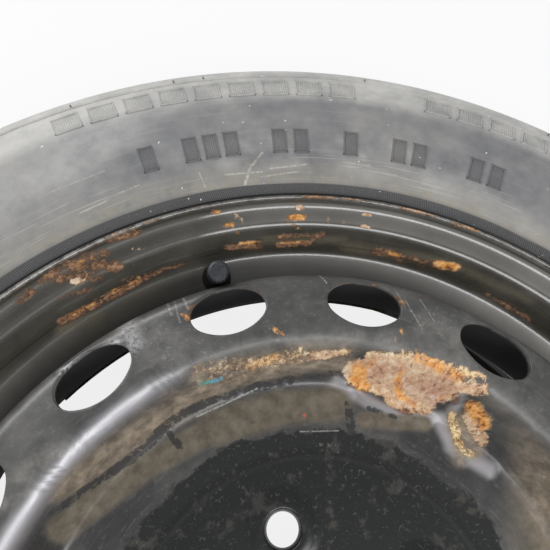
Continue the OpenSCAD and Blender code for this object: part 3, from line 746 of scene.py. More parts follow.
whole, halves = np.arange(360.0), np.arange(0, 360, 0.5)
vent_rings = {1: [0, 0.06, 0.14, 0.24, 0.36, 0.5, 0.66, 0.82, 1], -1: [0, 0.1, 0.3, 0.6, 1]}
mouths = {}
for side in (1, -1):
    lift = side * disc_sheet / 2
    shown = side > 0
    flange = np.linspace(0, vent_low, 10 if shown else 5)
    band(whole, flange, lift)
    turns, runs = vent_on_face(hole_x, hole_y, lift)
    for v in range(vents):
        rows = []
        for w in vent_rings[side]:
            turn, run = turns * (1 - w) + around[:, 0] * w + 24 * v, runs * (1 - w) + around[:, 1] * w
            rows.append(on_disc(turn, run, lift + (raised(turn, run) if shown else 0)))
        mouths[side, v] = patch(rows)
    bowl = np.linspace(vent_high, nave_start, 66 if shown else 22)
    if shown:
        bands = ((whole, bowl[:1]), (halves, bowl[1:-2]), (whole, bowl[-2:-1]), (whole[::2], bowl[-1:]))
        starts = [band(turns, runs, lift, True) for turns, runs in bands]
        splice(starts[0], starts[1], 360)
        splice(starts[2], starts[1] + 720 * (len(bowl) - 4), 360)
        splice(starts[3], starts[2], 180)
    else:
        band(whole, bowl[:-1], lift)
        splice(band(whole[::2], bowl[-1:], lift), len(np.vstack(disc_points)) - 180 - 360, 180)
    band(whole[::2], np.linspace(disc_end - (nave_inner - bore), disc_end, 5), lift)

for v in range(vents):
    disc_faces.extend(quads(mouths[1, v], mouths[-1, v], len(around)))
for turns, run in ((whole, 0.0), (whole[::2], disc_end)):
    ends = np.full(len(turns), run)
    patch([on_disc(turns, ends, disc_sheet / 2), on_disc(turns, ends, -disc_sheet / 2)])

# the nave with its bolt seats: rings round each hole, out to a fifth of the nave
half_fifth = 36
fifth = np.radians(np.arange(-half_fifth, half_fifth, 2.0))
back = np.append(-fifth, -math.radians(half_fifth))
side_r = np.linspace(nave_outer, nave_inner, 16)[:-1]
side_x, side_y = side_r * math.sin(math.radians(half_fifth)), side_r * math.cos(math.radians(half_fifth))
bolt_edge = np.vstack([
    np.column_stack([nave_outer * np.sin(fifth), nave_outer * np.cos(fifth)]),
    np.column_stack([side_x, side_y]),
    np.column_stack([nave_inner * np.sin(back), nave_inner * np.cos(back)]),
    np.column_stack([-side_x[::-1], side_y[::-1]]),
])
gap = bolt_edge - [0, bolt_circle]
way = gap / np.hypot(*gap.T)[:, None]
outer_rings = [(7.25, 2.8), (8.75, 5.4), (10, 5.4), (11.25, 5.4), (14.1, 4.3), (17, 3.2), (18.4, 3.2)]
inner_rings = [(7.25, 1.2), (11.25, 1.2), (13.8, 0), (18.4, 0)]
bolt_starts = {}
for side, rings in ((1, outer_rings), (-1, inner_rings)):
    flat = disc_sheet if side > 0 else 0.0
    rows = [np.column_stack([way * r + [0, bolt_circle], np.full(len(way), z)]) for r, z in rings]
    last = rows[-1]
    for w in (0.25, 0.6, 1):
        rows.append(np.column_stack([last[:, :2] * (1 - w) + bolt_edge * w, np.full(len(way), flat)]))
    for b in range(bolts):
        a = math.radians(72 * b)
        turn = np.array([[math.cos(a), -math.sin(a), 0], [math.sin(a), math.cos(a), 0], [0, 0, 1]])
        bolt_starts[side, b] = patch([row @ turn.T for row in rows])
for b in range(bolts):
    disc_faces.extend(quads(bolt_starts[1, b], bolt_starts[-1, b], len(way)))

disc_holder = in_scene("disc holder", mesh_of("disc_pressed", np.vstack(disc_points), disc_faces))
broken = disc_holder.modifiers.new("broken edges", "BEVEL")
broken.width, broken.segments, broken.limit_method, broken.angle_limit = 0.0005, 2, "ANGLE", math.radians(50)
broken.use_clamp_overlap = True
disc_mesh = smoothed(finished(disc_holder), 60)

disc_rust = [
    (404, 399, 416, 406, 2.6, 1), (399, 407, 410, 412, 4.5, 0.9), (401, 385, 403, 370, 2.5, 0.7),
    (350, 384, 367, 390, 3, 0.8), (187, 318, 193, 314, 3, 1.1), (190, 309, 212, 297, 2.4, 1.1),
    (212, 297, 240, 289, 2, 0.9), (240, 289, 262, 291, 1.6, 0.7), (226, 366, 246, 360, 4, 0.4),
    (262, 358, 300, 358, 5, 0.4), (334, 290, 342, 285, 2, 1), (342, 285, 372, 286, 2.2, 1),
    (372, 286, 404, 303, 2.4, 1), (440, 384, 456, 400, 6, 0.6), (422, 380, 450, 372, 4, 0.4),
    (474, 408, 482, 424, 4, 0.7),
]
disc_orange = [
    (359, 368, 361, 382, 8, 0.95), (353, 379, 367, 386, 4.5, 1), (403, 368, 397, 382, 3.6, 0.85),
    (397, 382, 400, 396, 4.2, 0.95), (400, 396, 415, 405, 2.8, 0.9), (417, 357, 438, 366, 5, 0.95),
    (438, 366, 460, 378, 6, 0.95), (472, 407, 484, 424, 8, 0.9), (274, 330, 283, 333, 3, 0.8),
    (246, 369, 278, 357, 5, 0.5), (355, 372, 372, 362, 5, 0.7), (440, 398, 454, 394, 4, 0.45),
    (464, 386, 482, 392, 4, 0.6), (288, 353, 300, 350, 2, 0.5), (183, 315, 190, 318, 2, 0.8),
    (396, 330, 401, 330, 1.5, 0.8), (395, 338, 399, 341, 2, 0.5), (478, 334, 484, 338, 3, 0.7),
]
disc_crust = [
    (356, 372, 400, 376, 13, 0.95), (400, 380, 440, 386, 17, 1), (372, 358, 420, 360, 8, 0.9),
    (425, 368, 452, 384, 11, 0.95), (394, 398, 428, 402, 10, 0.9), (462, 388, 484, 390, 7, 0.8),
    (375, 385, 395, 392, 9, 0.95), (414, 409, 428, 411, 5, 0.8), (312, 355, 345, 352, 3, 0.8),
    (312, 358, 345, 357, 1, 0.8), (250, 364, 300, 352, 5, 0.6), (470, 418, 482, 440, 8, 0.7),
    (198, 370, 240, 362, 9, 0.45), (240, 366, 300, 358, 9, 0.42), (196, 384, 250, 372, 7, 0.36),
    (300, 356, 350, 352, 5, 0.5), (452, 416, 459, 444, 6, 0.6), (460, 448, 474, 456, 5, 0.5),
    (440, 363, 484, 377, 3.5, 0.8),
]
# painted reflection: the ridges round the rusty pockets are painted a light bluish grey for the sky they
# reflect
disc_steel = pocket_ridge + [
    (336, 384, 354, 396, 5, 0.9), (354, 396, 372, 408, 4, 0.6),
]
disc_film = [
    (60, 488, 130, 440, 13, 0.95), (130, 440, 185, 402, 13, 0.95), (185, 402, 240, 377, 10, 0.9),
    (240, 377, 300, 363, 9, 0.95), (300, 363, 345, 362, 8, 0.95), (190, 375, 240, 366, 8, 0.7),
    (244, 362, 320, 358, 9, 0.9), (350, 338, 400, 340, 9, 0.7), (288, 345, 340, 345, 8, 0.7),
    (410, 346, 470, 362, 8, 0.6), (150, 340, 205, 362, 20, 0.5), (425, 325, 470, 345, 16, 0.6),
    (130, 320, 138, 342, 8, 0.9), (0, 500, 60, 452, 14, 0.9), (420, 352, 482, 376, 2.6, 1),
    (460, 420, 462, 458, 8, 1), (454, 420, 474, 450, 9, 0.9), (200, 345, 275, 345, 6, 0.4),
]
disc_floor = [
    (140, 470, 215, 428, 13, 1), (215, 428, 280, 408, 18, 1), (280, 408, 334, 404, 17, 1),
    (334, 396, 342, 406, 6, 1), (364, 420, 424, 424, 8, 1), (60, 530, 140, 470, 14, 1),
]
# darker, dull places, mostly along the foot of the bowl wall where it bends into the floor
disc_smudge = [
    (60, 508, 116, 469, 4, 1), (116, 469, 144, 449, 4.5, 1), (144, 449, 163, 429, 5, 1),
    (163, 429, 185, 413, 5, 1), (185, 413, 204, 403, 4.5, 1), (204, 403, 230, 395, 3.6, 1),
    (230, 395, 257, 387, 3.6, 1), (257, 387, 290, 380, 4.5, 1), (166, 429, 180, 447, 3.5, 0.9),
    (348, 406, 352, 432, 4.5, 1), (290, 380, 338, 372, 4, 0.5), (368, 408, 395, 417, 2.6, 0.8),
]
disc_specks = [
    (150, 342, 205, 358, 22, 1), (425, 322, 474, 345, 16, 1), (300, 345, 345, 348, 8, 0.6),
    (440, 362, 482, 372, 6, 0.8), (350, 336, 400, 345, 10, 0.4), (268, 330, 290, 336, 5, 0.7),
    (320, 440, 360, 470, 14, 0.5), (140, 300, 180, 320, 10, 0.4), (380, 345, 400, 350, 5, 0.5),
    (285, 300, 325, 315, 12, 0.4),
]
# painted highlights: light lines on a vent's upper edge, along the disc's outer edge and on the crest at the
# left
disc_bare = [
    (60, 372, 96, 350, 2.2, 1), (96, 350, 119, 341, 2, 0.9), (124, 320, 134, 344, 7, 0.5),
    (230, 277, 300, 273, 0.8, 0.4), (60, 458, 110, 421, 3, 0.35),
]
disc_mauve = [
    (374, 367, 382, 372, 5, 0.8), (430, 385, 440, 402, 9, 0.8), (405, 384, 415, 388, 6, 0.5),
    (446, 378, 454, 392, 5, 0.5), (438, 406, 446, 410, 4, 0.4),
]
disc_straw = [
    (345, 352, 392, 349, 3, 1), (392, 350, 420, 356, 3, 0.8), (440, 364, 482, 378, 3, 1),
    (452, 418, 458, 446, 7, 1), (462, 450, 474, 456, 6, 1), (250, 364, 300, 352, 5, 0.5),
    (368, 398, 392, 408, 4, 0.5), (370, 392, 380, 400, 5, 0.5),
]
disc_scratches = [  # straight scratches: from, to and half width in mm, strength
    (-26.0, 163.6, -24.8, 156.0, 0.9, 0.5), (-22.5, 163.5, -22.0, 151.5, 0.7, 0.35),
    (-18.4, 163.9, -17.1, 157.1, 0.9, 0.5), (46.9, 159, 48.0, 153.0, 0.5, 0.9),
    (-25.4, 113.2, -12.0, 115.1, 0.7, 0.9), (-12.0, 115.1, 5.1, 117.8, 0.6, 0.8),
    (66.7, 139.8, 71.8, 129.3, 0.5, 0.4), (81.2, 135.3, 82.5, 119.9, 0.6, 0.5),
    (88.7, 133.6, 90.0, 122.1, 0.5, 0.5), (19.6, 93.2, 37.3, 88.5, 0.5, 0.6),
    (79.0, 140.7, 79.7, 132.2, 0.5, 0.5),
]
disc_finish, skin, at = new_finish("disc paint", Specular_IOR_Level=0.45, Coat_Roughness=0.18)
drawn = put(at.id_data, "ShaderNodeMapping", Vector=at, Scale=(1, 1, 0.45)).outputs[0]
patches = cloud(at, 34, 5, 0.62)
paint = ramp_of(
    patches, [(0.3, (0.03, 0.03, 0.031)), (0.5, (0.055, 0.055, 0.055)), (0.7, (0.11, 0.108, 0.1))]
)
paint = blend_of(times(streaks(at, 9, 500, 0.56, 0.7), 0.3), paint, (0.17, 0.165, 0.15, 1))
blotches = step_of(cloud(at, 95, 4, 0.6), 0.56, 0.68)
worn = blend_of(times(blotches, 0.4), (0.011, 0.012, 0.012, 1), (0.1, 0.094, 0.08, 1))
ragged = scaled(minus(cloud(at, 70, 5, 0.65, 0.4), 0.5), 1.6, kept(at, "nave"))
nave = step_of(ragged, 0.4, 0.6)
paint = blend_of(nave, paint, worn)
# painted reflection: a light bluish grey on the pocket ridges
paint = blend_of(kept(at, "steel"), paint, (0.4, 0.385, 0.4, 1))
# painted highlight: a light, faintly metallic grey band with more coat along the left part of the bowl's
# crest
paint = blend_of(kept(at, "polish"), paint, (0.5, 0.49, 0.52, 1))
paint = blend_of(maths("GREATER_THAN", kept(at, "hidden"), 0.5), paint, (0.006, 0.006, 0.006, 1))
chips = times(kept(at, "specks"), step_of(cloud(at, 520, 3, 0.55, 0.6), 0.6, 0.68))
paint = blend_of(times(chips, 0.55), paint, (0.3, 0.29, 0.26, 1))
floor_dust = times(minus(kept(at, "floor"), nave, use_clamp=True), step_of(cloud(at, 240, 5, 0.6), 0.2, 0.42))
dust_tone = ramp_of(cloud(at, 150, 5, 0.65), [(0.35, (0.11, 0.092, 0.066)), (0.65, (0.2, 0.172, 0.13))])
paint = blend_of(floor_dust, paint, dust_tone)
ragged = times(kept(at, "smudge"), scaled(cloud(at, 260, 5, 0.7), 6.0, -2.1))
dark = step_of(ragged, 0.3, 0.7)
brown_dust = ramp_of(
    cloud(at, 130, 5, 0.65),
    [(0.35, (0.15, 0.118, 0.085)), (0.5, (0.26, 0.21, 0.155)), (0.65, (0.42, 0.34, 0.25))],
)
grey_dust = ramp_of(cloud(at, 130, 5, 0.65), [(0.35, (0.11, 0.108, 0.1)), (0.65, (0.26, 0.25, 0.23))])
film_tone = blend_of(kept(at, "face"), brown_dust, grey_dust)
tint = blend_of(kept(at, "mauve"), (1, 1, 1, 1), (0.78, 0.62, 0.66, 1))
tint = blend_of(kept(at, "straw"), tint, (1.15, 1.22, 0.98, 1))
look = weather(
    Vector=drawn, Paint=paint, Gloss=0.3, Scale_Tint=tint, Film_Color=film_tone,
    **masks(at, "rust", "orange", "crust", "film", "specks"),
)
colour = blend_of(times(dark, 0.85), look["Color"], (0.03, 0.03, 0.032, 1))
colour = blend_of(scratched(at, disc_scratches), colour, (0.42, 0.41, 0.38, 1))
# painted highlights: light bluish lines where the strokes of disc_bare lie, broken up by noise
colour = blend_of(
    times(kept(at, "bare"), step_of(cloud(at, 600, 4), 0.35, 0.55)), colour, (0.56, 0.56, 0.58, 1)
)
for x1, x2, tint in ((-20.0, -15.1, (0.12, 0.45, 0.36, 1)), (-15.1, -10.1, (0.1, 0.5, 0.68, 1))):
    colour = blend_of(scratched(at, [(x1, 124.5, x2, 124.7, 0.9, 1.0)]), colour, tint)
colour = blend_of(scratched(at, [(23.6, 99.6, 23.7, 99.9, 1.1, 0.9)]), colour, (0.6, 0.12, 0.07, 1))
feed(skin, Base_Color=colour)
dull = most(most(floor_dust, dark), kept(at, "ring"))
dull = level_of(dull, look["Roughness"], 0.8)
dull = level_of(kept(at, "polish"), dull, 0.4)
feed(skin, Roughness=most(dull, kept(at, "hidden")))
feed(skin, Metallic=times(kept(at, "polish"), 0.25))
gloss = scaled(kept(at, "polish"), 0.4, 0.12)
feed(skin, Coat_Weight=minus(gloss, most(kept(at, "hidden"), kept(at, "ring")), use_clamp=True))
feed(skin, Normal=bumped(look["Height"], 0.0005, 1.0, Normal=bumped(cloud(at, 420, 3), 0.00003, 0.6)))

angle, radius, height = corners(disc_mesh)
spots = places(disc_mesh)
outer = (on_face(disc_face, radius, height)[1] < 2.6) & (height > 1.4)
u, v = shown_at(spots)
beyond = beyond_picture(u, v, 500, 30)
wall_dust = beyond * np.exp(-((radius - 122) / 9) ** 2) * (0.5 + 0.6 * drift(angle, 1.9))
floor_dirt = beyond * np.clip((radius - 90 - 6 * drift(angle, 3.3)) / 3, 0, 1) * (radius < 116)
# where the crest's painted highlight lies, on its left part only; dust is kept off it
crest = np.exp(-(((radius - 132) / 2.7) ** 2)) * (height > 20)
crest *= np.clip((-8 - angle) / 12, 0, 1) * np.clip((angle + 80) / 20, 0, 1)
film = np.maximum(np.maximum(strokes(spots, disc_film, 0.9), wall_dust), 0.2 * (radius > 128))
give(
    disc_mesh,
    rust=np.maximum(strokes(spots, disc_rust, 0.8), beyond * (drift(angle, 0.9) * 1.4 - 0.9)) * outer,
    orange=strokes(spots, disc_orange, 0.8) * outer,
    crust=strokes(spots, disc_crust, 0.5) * outer,
    film=film * outer * (1 - crest),
    polish=crest * outer,
    face=np.clip((radius - 129) / 4, 0, 1) * outer,
    mauve=strokes(spots, disc_mauve, 0.9),
    straw=strokes(spots, disc_straw, 0.9),
    ring=np.clip(1 - np.abs(radius - 91) / 9, 0, 0.35) / 0.35 * outer,
    floor=np.maximum(strokes(spots, disc_floor, 0.35), floor_dirt) * outer,
    smudge=strokes(spots, disc_smudge, 0.8) * outer,
    specks=np.maximum(strokes(spots, disc_specks, 1.0), 0.25) * outer,
    nave=np.clip((101 - radius) / 10, 0, 1) * outer,
    steel=np.clip(strokes(spots, disc_steel, 0.8), 0, 1) * outer,
    bare=strokes(spots, disc_bare, 0.9) * outer,
    hidden=np.where(outer, 0.0, 1.0),
)
piece("disc_pressed", disc_mesh, disc_finish, stands_for=["wheel_disc"])


# ---- Welds --------------------------------------------------------------------------------------
# Eight short arc-weld beads hold the disc's flange in the rim's well, on the hidden back. They were
# painted over with the rest, and show ripples along the bead.

weld_finish, skin, at = new_finish("weld beads", Specular_IOR_Level=0.5)
look = weather(
    Vector=at, Paint=(0.05, 0.048, 0.045, 1), Gloss=0.45, Rust=0.55, Crust=0.0, Film=0.2, Specks=0.2
)


def waves(at, way, scale, twist):
    """Straight waves across one direction, from 0 to 1."""
    fixed = {"wave_type": "BANDS", "bands_direction": way}
    return put(
        at.id_data, "ShaderNodeTexWave", fixed, Vector=at, Scale=scale, Distortion=twist
    ).outputs["Fac"]


ripple = bumped(waves(at, "X", 260, 1.5), 0.0003, 0.8, Normal=bumped(look["Height"], 0.0004))
feed(skin, Base_Color=look["Color"], Roughness=look["Roughness"], Normal=ripple)


def refinished(node, finish):
    """Gives a CAD node its material."""
    cad[node].data.materials.clear()
    cad[node].data.materials.append(finish)


refinished("disc_welds", weld_finish)


# ---- Valve --------------------------------------------------------------------------------------
# A snap-in valve: black rubber moulded on a brass stem, pulled through the hole in the well's wall.
# Its brass core has a red sealing ring, a steel spring and a black seat washer.

def grained(name, scale, detail, dark, light, low, high, **plain):
    """A finish whose colour and roughness each wander between two levels."""
    finish, skin, at = new_finish(name, **plain)
    grain = cloud(at, scale, detail)
    feed(skin, Base_Color=ramp_of(grain, [(0.3, dark), (0.7, light)]), Roughness=grey_of(grain, low, high))
    return finish, skin, at, grain


rubber_finish, skin, at, grain = grained(
    "valve rubber", 900, 4, (0.012, 0.012, 0.012), (0.045, 0.043, 0.04), 0.5, 0.8, Specular_IOR_Level=0.35
)
feed(skin, Normal=bumped(grain, 0.00005))
brass_finish, skin, at, grain = grained(
    "brass", 600, 5, (0.32, 0.21, 0.08), (0.62, 0.46, 0.2), 0.25, 0.5, Metallic=1.0
)
feed(skin, Normal=bumped(waves(at, "Z", 700, 0.0), 0.0001, 0.5))
seal_finish = grained(
    "red seal rubber", 1500, 3, (0.25, 0.015, 0.01), (0.42, 0.03, 0.02), 0.45, 0.7, Specular_IOR_Level=0.35
)[0]
steel_finish = grained(
    "spring steel", 2000, 3, (0.35, 0.35, 0.34), (0.55, 0.55, 0.54), 0.25, 0.45, Metallic=1.0
)[0]

for node in ("valve_stem", "core_plug", "core_barrel", "core_pin", "core_cup"):
    refinished(node, brass_finish)
for node in ("valve_body", "core_seal"):
    refinished(node, rubber_finish)
refinished("core_gasket", seal_finish)
refinished("core_spring", steel_finish)


# ---- Valve cap ----------------------------------------------------------------------------------
# A moulded nylon cap with grip ribs and a flat top, screwed on the stem over a rubber ring.

cap_finish, skin, at = new_finish("cap nylon", Specular_IOR_Level=0.5)
grain = cloud(at, 500, 4)
scrape = step_of(cloud(at, 1400, 2, 0.5, 2.0), 0.62, 0.7)
nylon = ramp_of(grain, [(0.3, (0.018, 0.02, 0.024)), (0.7, (0.045, 0.048, 0.055))])
feed(
    skin, Base_Color=blend_of(times(scrape, 0.4), nylon, (0.25, 0.26, 0.28, 1)),
    Roughness=grey_of(grain, 0.3, 0.5), Normal=bumped(grain, 0.00004),
)
refinished("valve_cap", cap_finish)
refinished("cap_ring", rubber_finish)


# ---- Tyre ---------------------------------------------------------------------------------------
# A narrow radial tyre of black rubber, cured in a mould: grooved crown, slotted shoulders, round
# sidewalls and beads that sit inside the flanges. The sidewall is grey with dust and old scuffs.

slots = 48


def arc_through(a, b, c, steps):
    """Points on the round arc from a through b to c."""
    a, b, c = (np.array(p, float) for p in (a, b, c))
    w = 2 * (a[0] * (b[1] - c[1]) + b[0] * (c[1] - a[1]) + c[0] * (a[1] - b[1]))
    qa, qb, qc = a @ a, b @ b, c @ c
    centre = np.array([
        (qa * (b[1] - c[1]) + qb * (c[1] - a[1]) + qc * (a[1] - b[1])) / w,
        (qa * (c[0] - b[0]) + qb * (a[0] - c[0]) + qc * (b[0] - a[0])) / w,
    ])
    start, end = a - centre, c - centre
    turn = math.acos(start @ end / math.sqrt((start @ start) * (end @ end)))
    side = math.copysign(1, start[0] * end[1] - start[1] * end[0])
    angles = side * turn * np.linspace(0, 1, steps + 1)
    return [tuple(centre + turned(start, t)) for t in angles]


def crown(z):
    """Radius of the tread at a height over the tyre's middle."""
    return 303 - 5.5 * (z / 46) ** 2


def half_tyre(fine):
    """Half outline of the tyre, from the middle groove round to the inner liner: radius and height."""
    line = [(298.5, 0.0), (298.5, 2.0), (298.9, 2.4), (302.6, 3.1), (crown(3.6), 3.6)]
    line += [(crown(z), z) for z in (8, 13, 17.8)]
    groove = crown(22)
    line += [(crown(18.4), 18.4), (groove - 4.1, 19.2), (groove - 4.5, 19.7), (groove - 4.5, 24.3)]
    line += [(groove - 4.1, 24.8), (crown(25.6), 25.6)]
    line += [(crown(z), z) for z in (26.2, 31, 35.5, 38.9, 39.1, 42, 45.2)]
    line += arc_through((crown(45.8), 45.8), (292.9, 49.9), (288.2, 52.4), 8)
    line += [(287.4, 52.3), (286.8, 52.1), (286.2, 52.4), (285.6, 53.3)]
    line += arc_through((284.6, 53.9), (249.4, 62.5), (211, 61.3), 44 if fine else 14)
    line += [(210.4, 61.1), (210.0, 60.8), (208.6, 60.4), (206.6, 59.7)]
    heel, toe = np.radians([60, 40, 20, 0]), np.radians([67.5, 45, 22.5, 0])
    line += [(197.2 + 8.3 * math.sin(a), 59 - 8.3 * math.cos(a)) for a in heel]
    line += [(195.9 - 5.7 * math.cos(a), 45 + 5.7 * math.sin(a)) for a in toe]
    line += [(189.4, 41.5), (190.6, 40.1), (198.4, 41.9)]
    line += arc_through((212.4, 50), (249.4, 56), (283.5, 47), 5)
    line += [(289, 36.8)]
    return line


upper_half, lower_half = half_tyre(True), half_tyre(False)
tyre_line = np.array(upper_half + [(290.5, 0)] + [(r, -z) for r, z in reversed(lower_half[1:])])


def on_wall(radius):
    """Height of the tyre's outer face over the hub face, and its slope, at a radius."""
    face = np.array([p for p in upper_half[:-12] if p[1] > 50])
    face = face[np.argsort(face[:, 0])]
    low, high = (np.interp(radius + d, face[:, 0], face[:, 1]) for d in (-1.0, 1.0))
    return float(np.interp(radius, face[:, 0], face[:, 1])) + rim_middle, math.atan2(high - low, 2.0)


pitch = 360 / slots
steps = np.array([-0.40, -0.33, 0.33, 0.40, 1.3, 2.4, 3.35, 3.42, 4.08, 4.15, 5.1, 6.2])
tyre_turns = np.concatenate([steps + pitch * k for k in range(slots)])
tyre_points, columns = [], len(tyre_turns)
sine, cosine = np.sin(np.radians(tyre_turns)), np.cos(np.radians(tyre_turns))
in_slot = {1: np.tile(np.abs(steps) < 0.35, slots), -1: np.tile(np.abs(steps - pitch / 2) < 0.35, slots)}
for r, z in tyre_line:
    radii = np.full(columns, r)
    if 39 < abs(z) < 46.2:
        radii = np.where(in_slot[1 if z > 0 else -1], np.minimum(radii, 293.0), radii)
    tyre_points.append(np.column_stack([radii * sine, radii * cosine, np.full(columns, z + rim_middle)]))
rows, tyre_faces = len(tyre_line), []
for j in range(rows):
    tyre_faces += quads(j * columns, (j + 1) % rows * columns, columns)
tyre_mesh = mesh_of("tyre_moulded", np.vstack(tyre_points), tyre_faces)

# the broad strokes at the upper left paint a sheen of light on the sidewall; the others are dust
tyre_dust = [  # brush strokes in the picture: from, to, half width, strength
    (60, 165, 120, 128, 22, 0.8), (120, 128, 170, 105, 12, 0.4), (430, 182, 481, 200, 14, 0.8),
    (345, 168, 440, 190, 8, 0.6), (481, 200, 550, 240, 14, 0.6), (232, 173, 300, 165, 5, 0.6),
    (250, 185, 345, 186, 5, 0.7), (225, 165, 262, 172, 8, 0.6), (0, 200, 60, 165, 18, 0.6),
    (238, 142, 250, 150, 4, 0.5), (275, 140, 290, 152, 5, 0.6), (340, 140, 362, 156, 4, 0.6),
    (395, 148, 420, 160, 5, 0.4), (176, 152, 186, 170, 3, 0.5),
]
tyre_dirt = [
    (60, 255, 130, 216, 4, 0.8), (130, 216, 200, 194, 4, 0.9), (200, 194, 262, 185, 4, 1),
    (262, 185, 345, 184, 4, 0.9), (345, 184, 440, 200, 4, 0.9), (440, 200, 481, 216, 5, 1),
    (481, 216, 550, 250, 5, 0.9), (0, 290, 60, 255, 5, 0.8), (290, 136, 296, 142, 3, 0.7),
    (345, 136, 356, 141, 3, 0.6), (240, 158, 262, 176, 4, 0.5),
]
tyre_cuts = [
    (23.4, 210.2, 28.8, 219.0, 1.1, 0.8), (28.7, 218.5, 36.2, 224.7, 0.9, 0.6),
    (4.3, 212, 3.2, 221, 0.5, 0.5), (15.1, 217.2, 33.3, 214.6, 0.7, 0.6),
    (37.7, 215.4, 56.1, 213.5, 0.7, 0.7), (-35.8, 218.7, -26.0, 220.8, 0.5, 0.5),
    (-55.1, 212.2, -40.8, 216.3, 0.7, 0.6), (31.8, 212.2, 51.1, 210.6, 0.6, 0.5),
    (74.5, 210.5, 87.2, 205.0, 0.6, 0.5), (-66, 226, -40, 232, 0.5, 0.4),
]
angle, radius, height = corners(tyre_mesh)
spots = places(tyre_mesh)
street = height > 5
tread = (radius > 291) & (height < 18)
give(
    tyre_mesh,
    dust=np.maximum(strokes(spots, tyre_dust, 1.0), 0.25 * drift(angle, 1.1)) * street,
    dirt=np.maximum(strokes(spots, tyre_dirt, 1.0), 0.7 * np.clip((226 - radius) / 11, 0, 1)) * street,
    dark=np.clip((211.2 - radius) / 0.8, 0, 1) * street,
    pale=np.clip((radius - 262) / 9, 0, 1) * (0.4 + 0.6 * street) * np.where(tread, 0.35, 1),
    scuffed=np.clip(1 - np.abs(radius - 221) / 14, 0, 1) * street,
)
tyre_finish, skin, at = new_finish("tyre rubber", Specular_IOR_Level=0.3, Sheen_Weight=0.1)
wide_grain, middle_grain, fine_grain = cloud(at, 11, 4, 0.6), cloud(at, 60, 6, 0.65), cloud(at, 900, 4, 0.6)
tone = plus(times(wide_grain, 0.5), times(middle_grain, 0.5))
rubber = ramp_of(
    tone, [(0.36, (0.155, 0.157, 0.165)), (0.5, (0.222, 0.222, 0.224)), (0.64, (0.31, 0.302, 0.285))]
)
rubber = blend_of(times(streaks(at, 16, 300, 0.5, 0.75), 0.3), rubber, (0.33, 0.325, 0.31, 1))
rubber = blend_of(times(kept(at, "clean"), 0.7), rubber, (0.13, 0.13, 0.135, 1))
# dust, and a painted sheen at the upper left, lighten the rubber
rubber = blend_of(times(kept(at, "dust"), scaled(middle_grain, 1.6, -0.2)), rubber, (0.47, 0.465, 0.45, 1))
shoulder = ramp_of(middle_grain, [(0.35, (0.43, 0.425, 0.405)), (0.65, (0.56, 0.55, 0.52))])
rubber = blend_of(times(kept(at, "pale"), scaled(tone, 1.4, 0.15, use_clamp=True)), rubber, shoulder)
muddy = times(kept(at, "dirt"), scaled(cloud(at, 220, 5, 0.7), 3.4, -1.0))
rubber = blend_of(times(muddy, 0.8), rubber, (0.34, 0.31, 0.25, 1))
rubber = blend_of(kept(at, "dark"), rubber, (0.085, 0.085, 0.087, 1))
grazes = times(streaks(at, 30, 900, 0.58, 0.68), kept(at, "scuffed"))
rubber = blend_of(times(grazes, 0.6), rubber, (0.5, 0.49, 0.45, 1))
rubber = blend_of(scratched(at, tyre_cuts), rubber, (0.6, 0.57, 0.47, 1))
rubber = blend_of(step_of(cloud(at, 380, 2, 0.4), 0.755, 0.77), rubber, (0.75, 0.74, 0.7, 1))
feed(skin, Base_Color=rubber)
feed(skin, Roughness=grey_of(middle_grain, 0.45, 0.7))
feed(skin, Normal=bumped(plus(fine_grain, middle_grain), 0.0001, 0.6))
piece("tyre_moulded", tyre_mesh, tyre_finish, stands_for=["tyre"])


# ---- Moulded marks of the tyre ------------------------------------------------------------------
# The mould leaves fine ribs on the band beside the rim, raised hatched blocks in two rings on the
# sidewall and small rubber nubs near the tread. All are one with the tyre.

sizes = [(size, "Float") for size in ("Ring Radius", "Height", "Start", "Step", "Tilt", "Slant")]
ring_of, given, out = new_group(
    "ring of marks", "Geometry",
    [("Geometry", "Geometry"), ("Count", "Int"), *sizes, ("Finish", "Material")], [("Geometry", "Geometry")],
)
points = put(ring_of, "GeometryNodeMeshLine", {"mode": "OFFSET"}, Count=given["Count"])
index = put(ring_of, "GeometryNodeInputIndex").outputs[0]
turn = plus(given["Start"], times(index, given["Step"]))
x, y = (times(given["Ring Radius"], maths(sort, turn)) for sort in ("SINE", "COSINE"))
spot = put(ring_of, "ShaderNodeCombineXYZ", X=x, Y=y, Z=given["Height"])
placed = put(ring_of, "GeometryNodeSetPosition", Geometry=points.outputs[0], Position=spot.outputs[0])
lean = put(ring_of, "ShaderNodeCombineXYZ", X=given["Tilt"], Y=0.0, Z=times(turn, -1.0))
slant = put(ring_of, "ShaderNodeCombineXYZ", Z=given["Slant"])
leaning, skew = (
    put(ring_of, "FunctionNodeEulerToRotation", Euler=way.outputs[0]).outputs[0] for way in (lean, slant)
)
way = put(
    ring_of, "FunctionNodeRotateRotation", {"rotation_space": "LOCAL"}, Rotation=leaning, Rotate_By=skew
)
marks = put(
    ring_of, "GeometryNodeInstanceOnPoints",
    Points=placed.outputs[0], Instance=given["Geometry"], Rotation=way.outputs[0],
)
delivered(marks, given, out)


def ridge(wide, long, tall):
    """Points and faces of a bar with sloping sides: wide along X, long along Y, with a narrower top."""
    w, l, u, v = wide / 2, long / 2, wide / 4, long / 2 - wide / 4
    points = [
        (-w, -l, 0), (w, -l, 0), (w, l, 0), (-w, l, 0), (-u, -v, tall), (u, -v, tall), (u, v, tall),
        (-u, v, tall),
    ]
    faces = [(4, 5, 6, 7), (0, 1, 5, 4), (1, 2, 6, 5), (2, 3, 7, 6), (3, 0, 4, 7), (3, 2, 1, 0)]
    return np.array(points, float), faces


def joined(parts):
    """Several point-and-face sets as one."""
    points, faces, start = [], [], 0
    for p, f in parts:
        points.append(p)
        faces += [tuple(i + start for i in face) for face in f]
        start += len(p)
    return np.vstack(points), faces


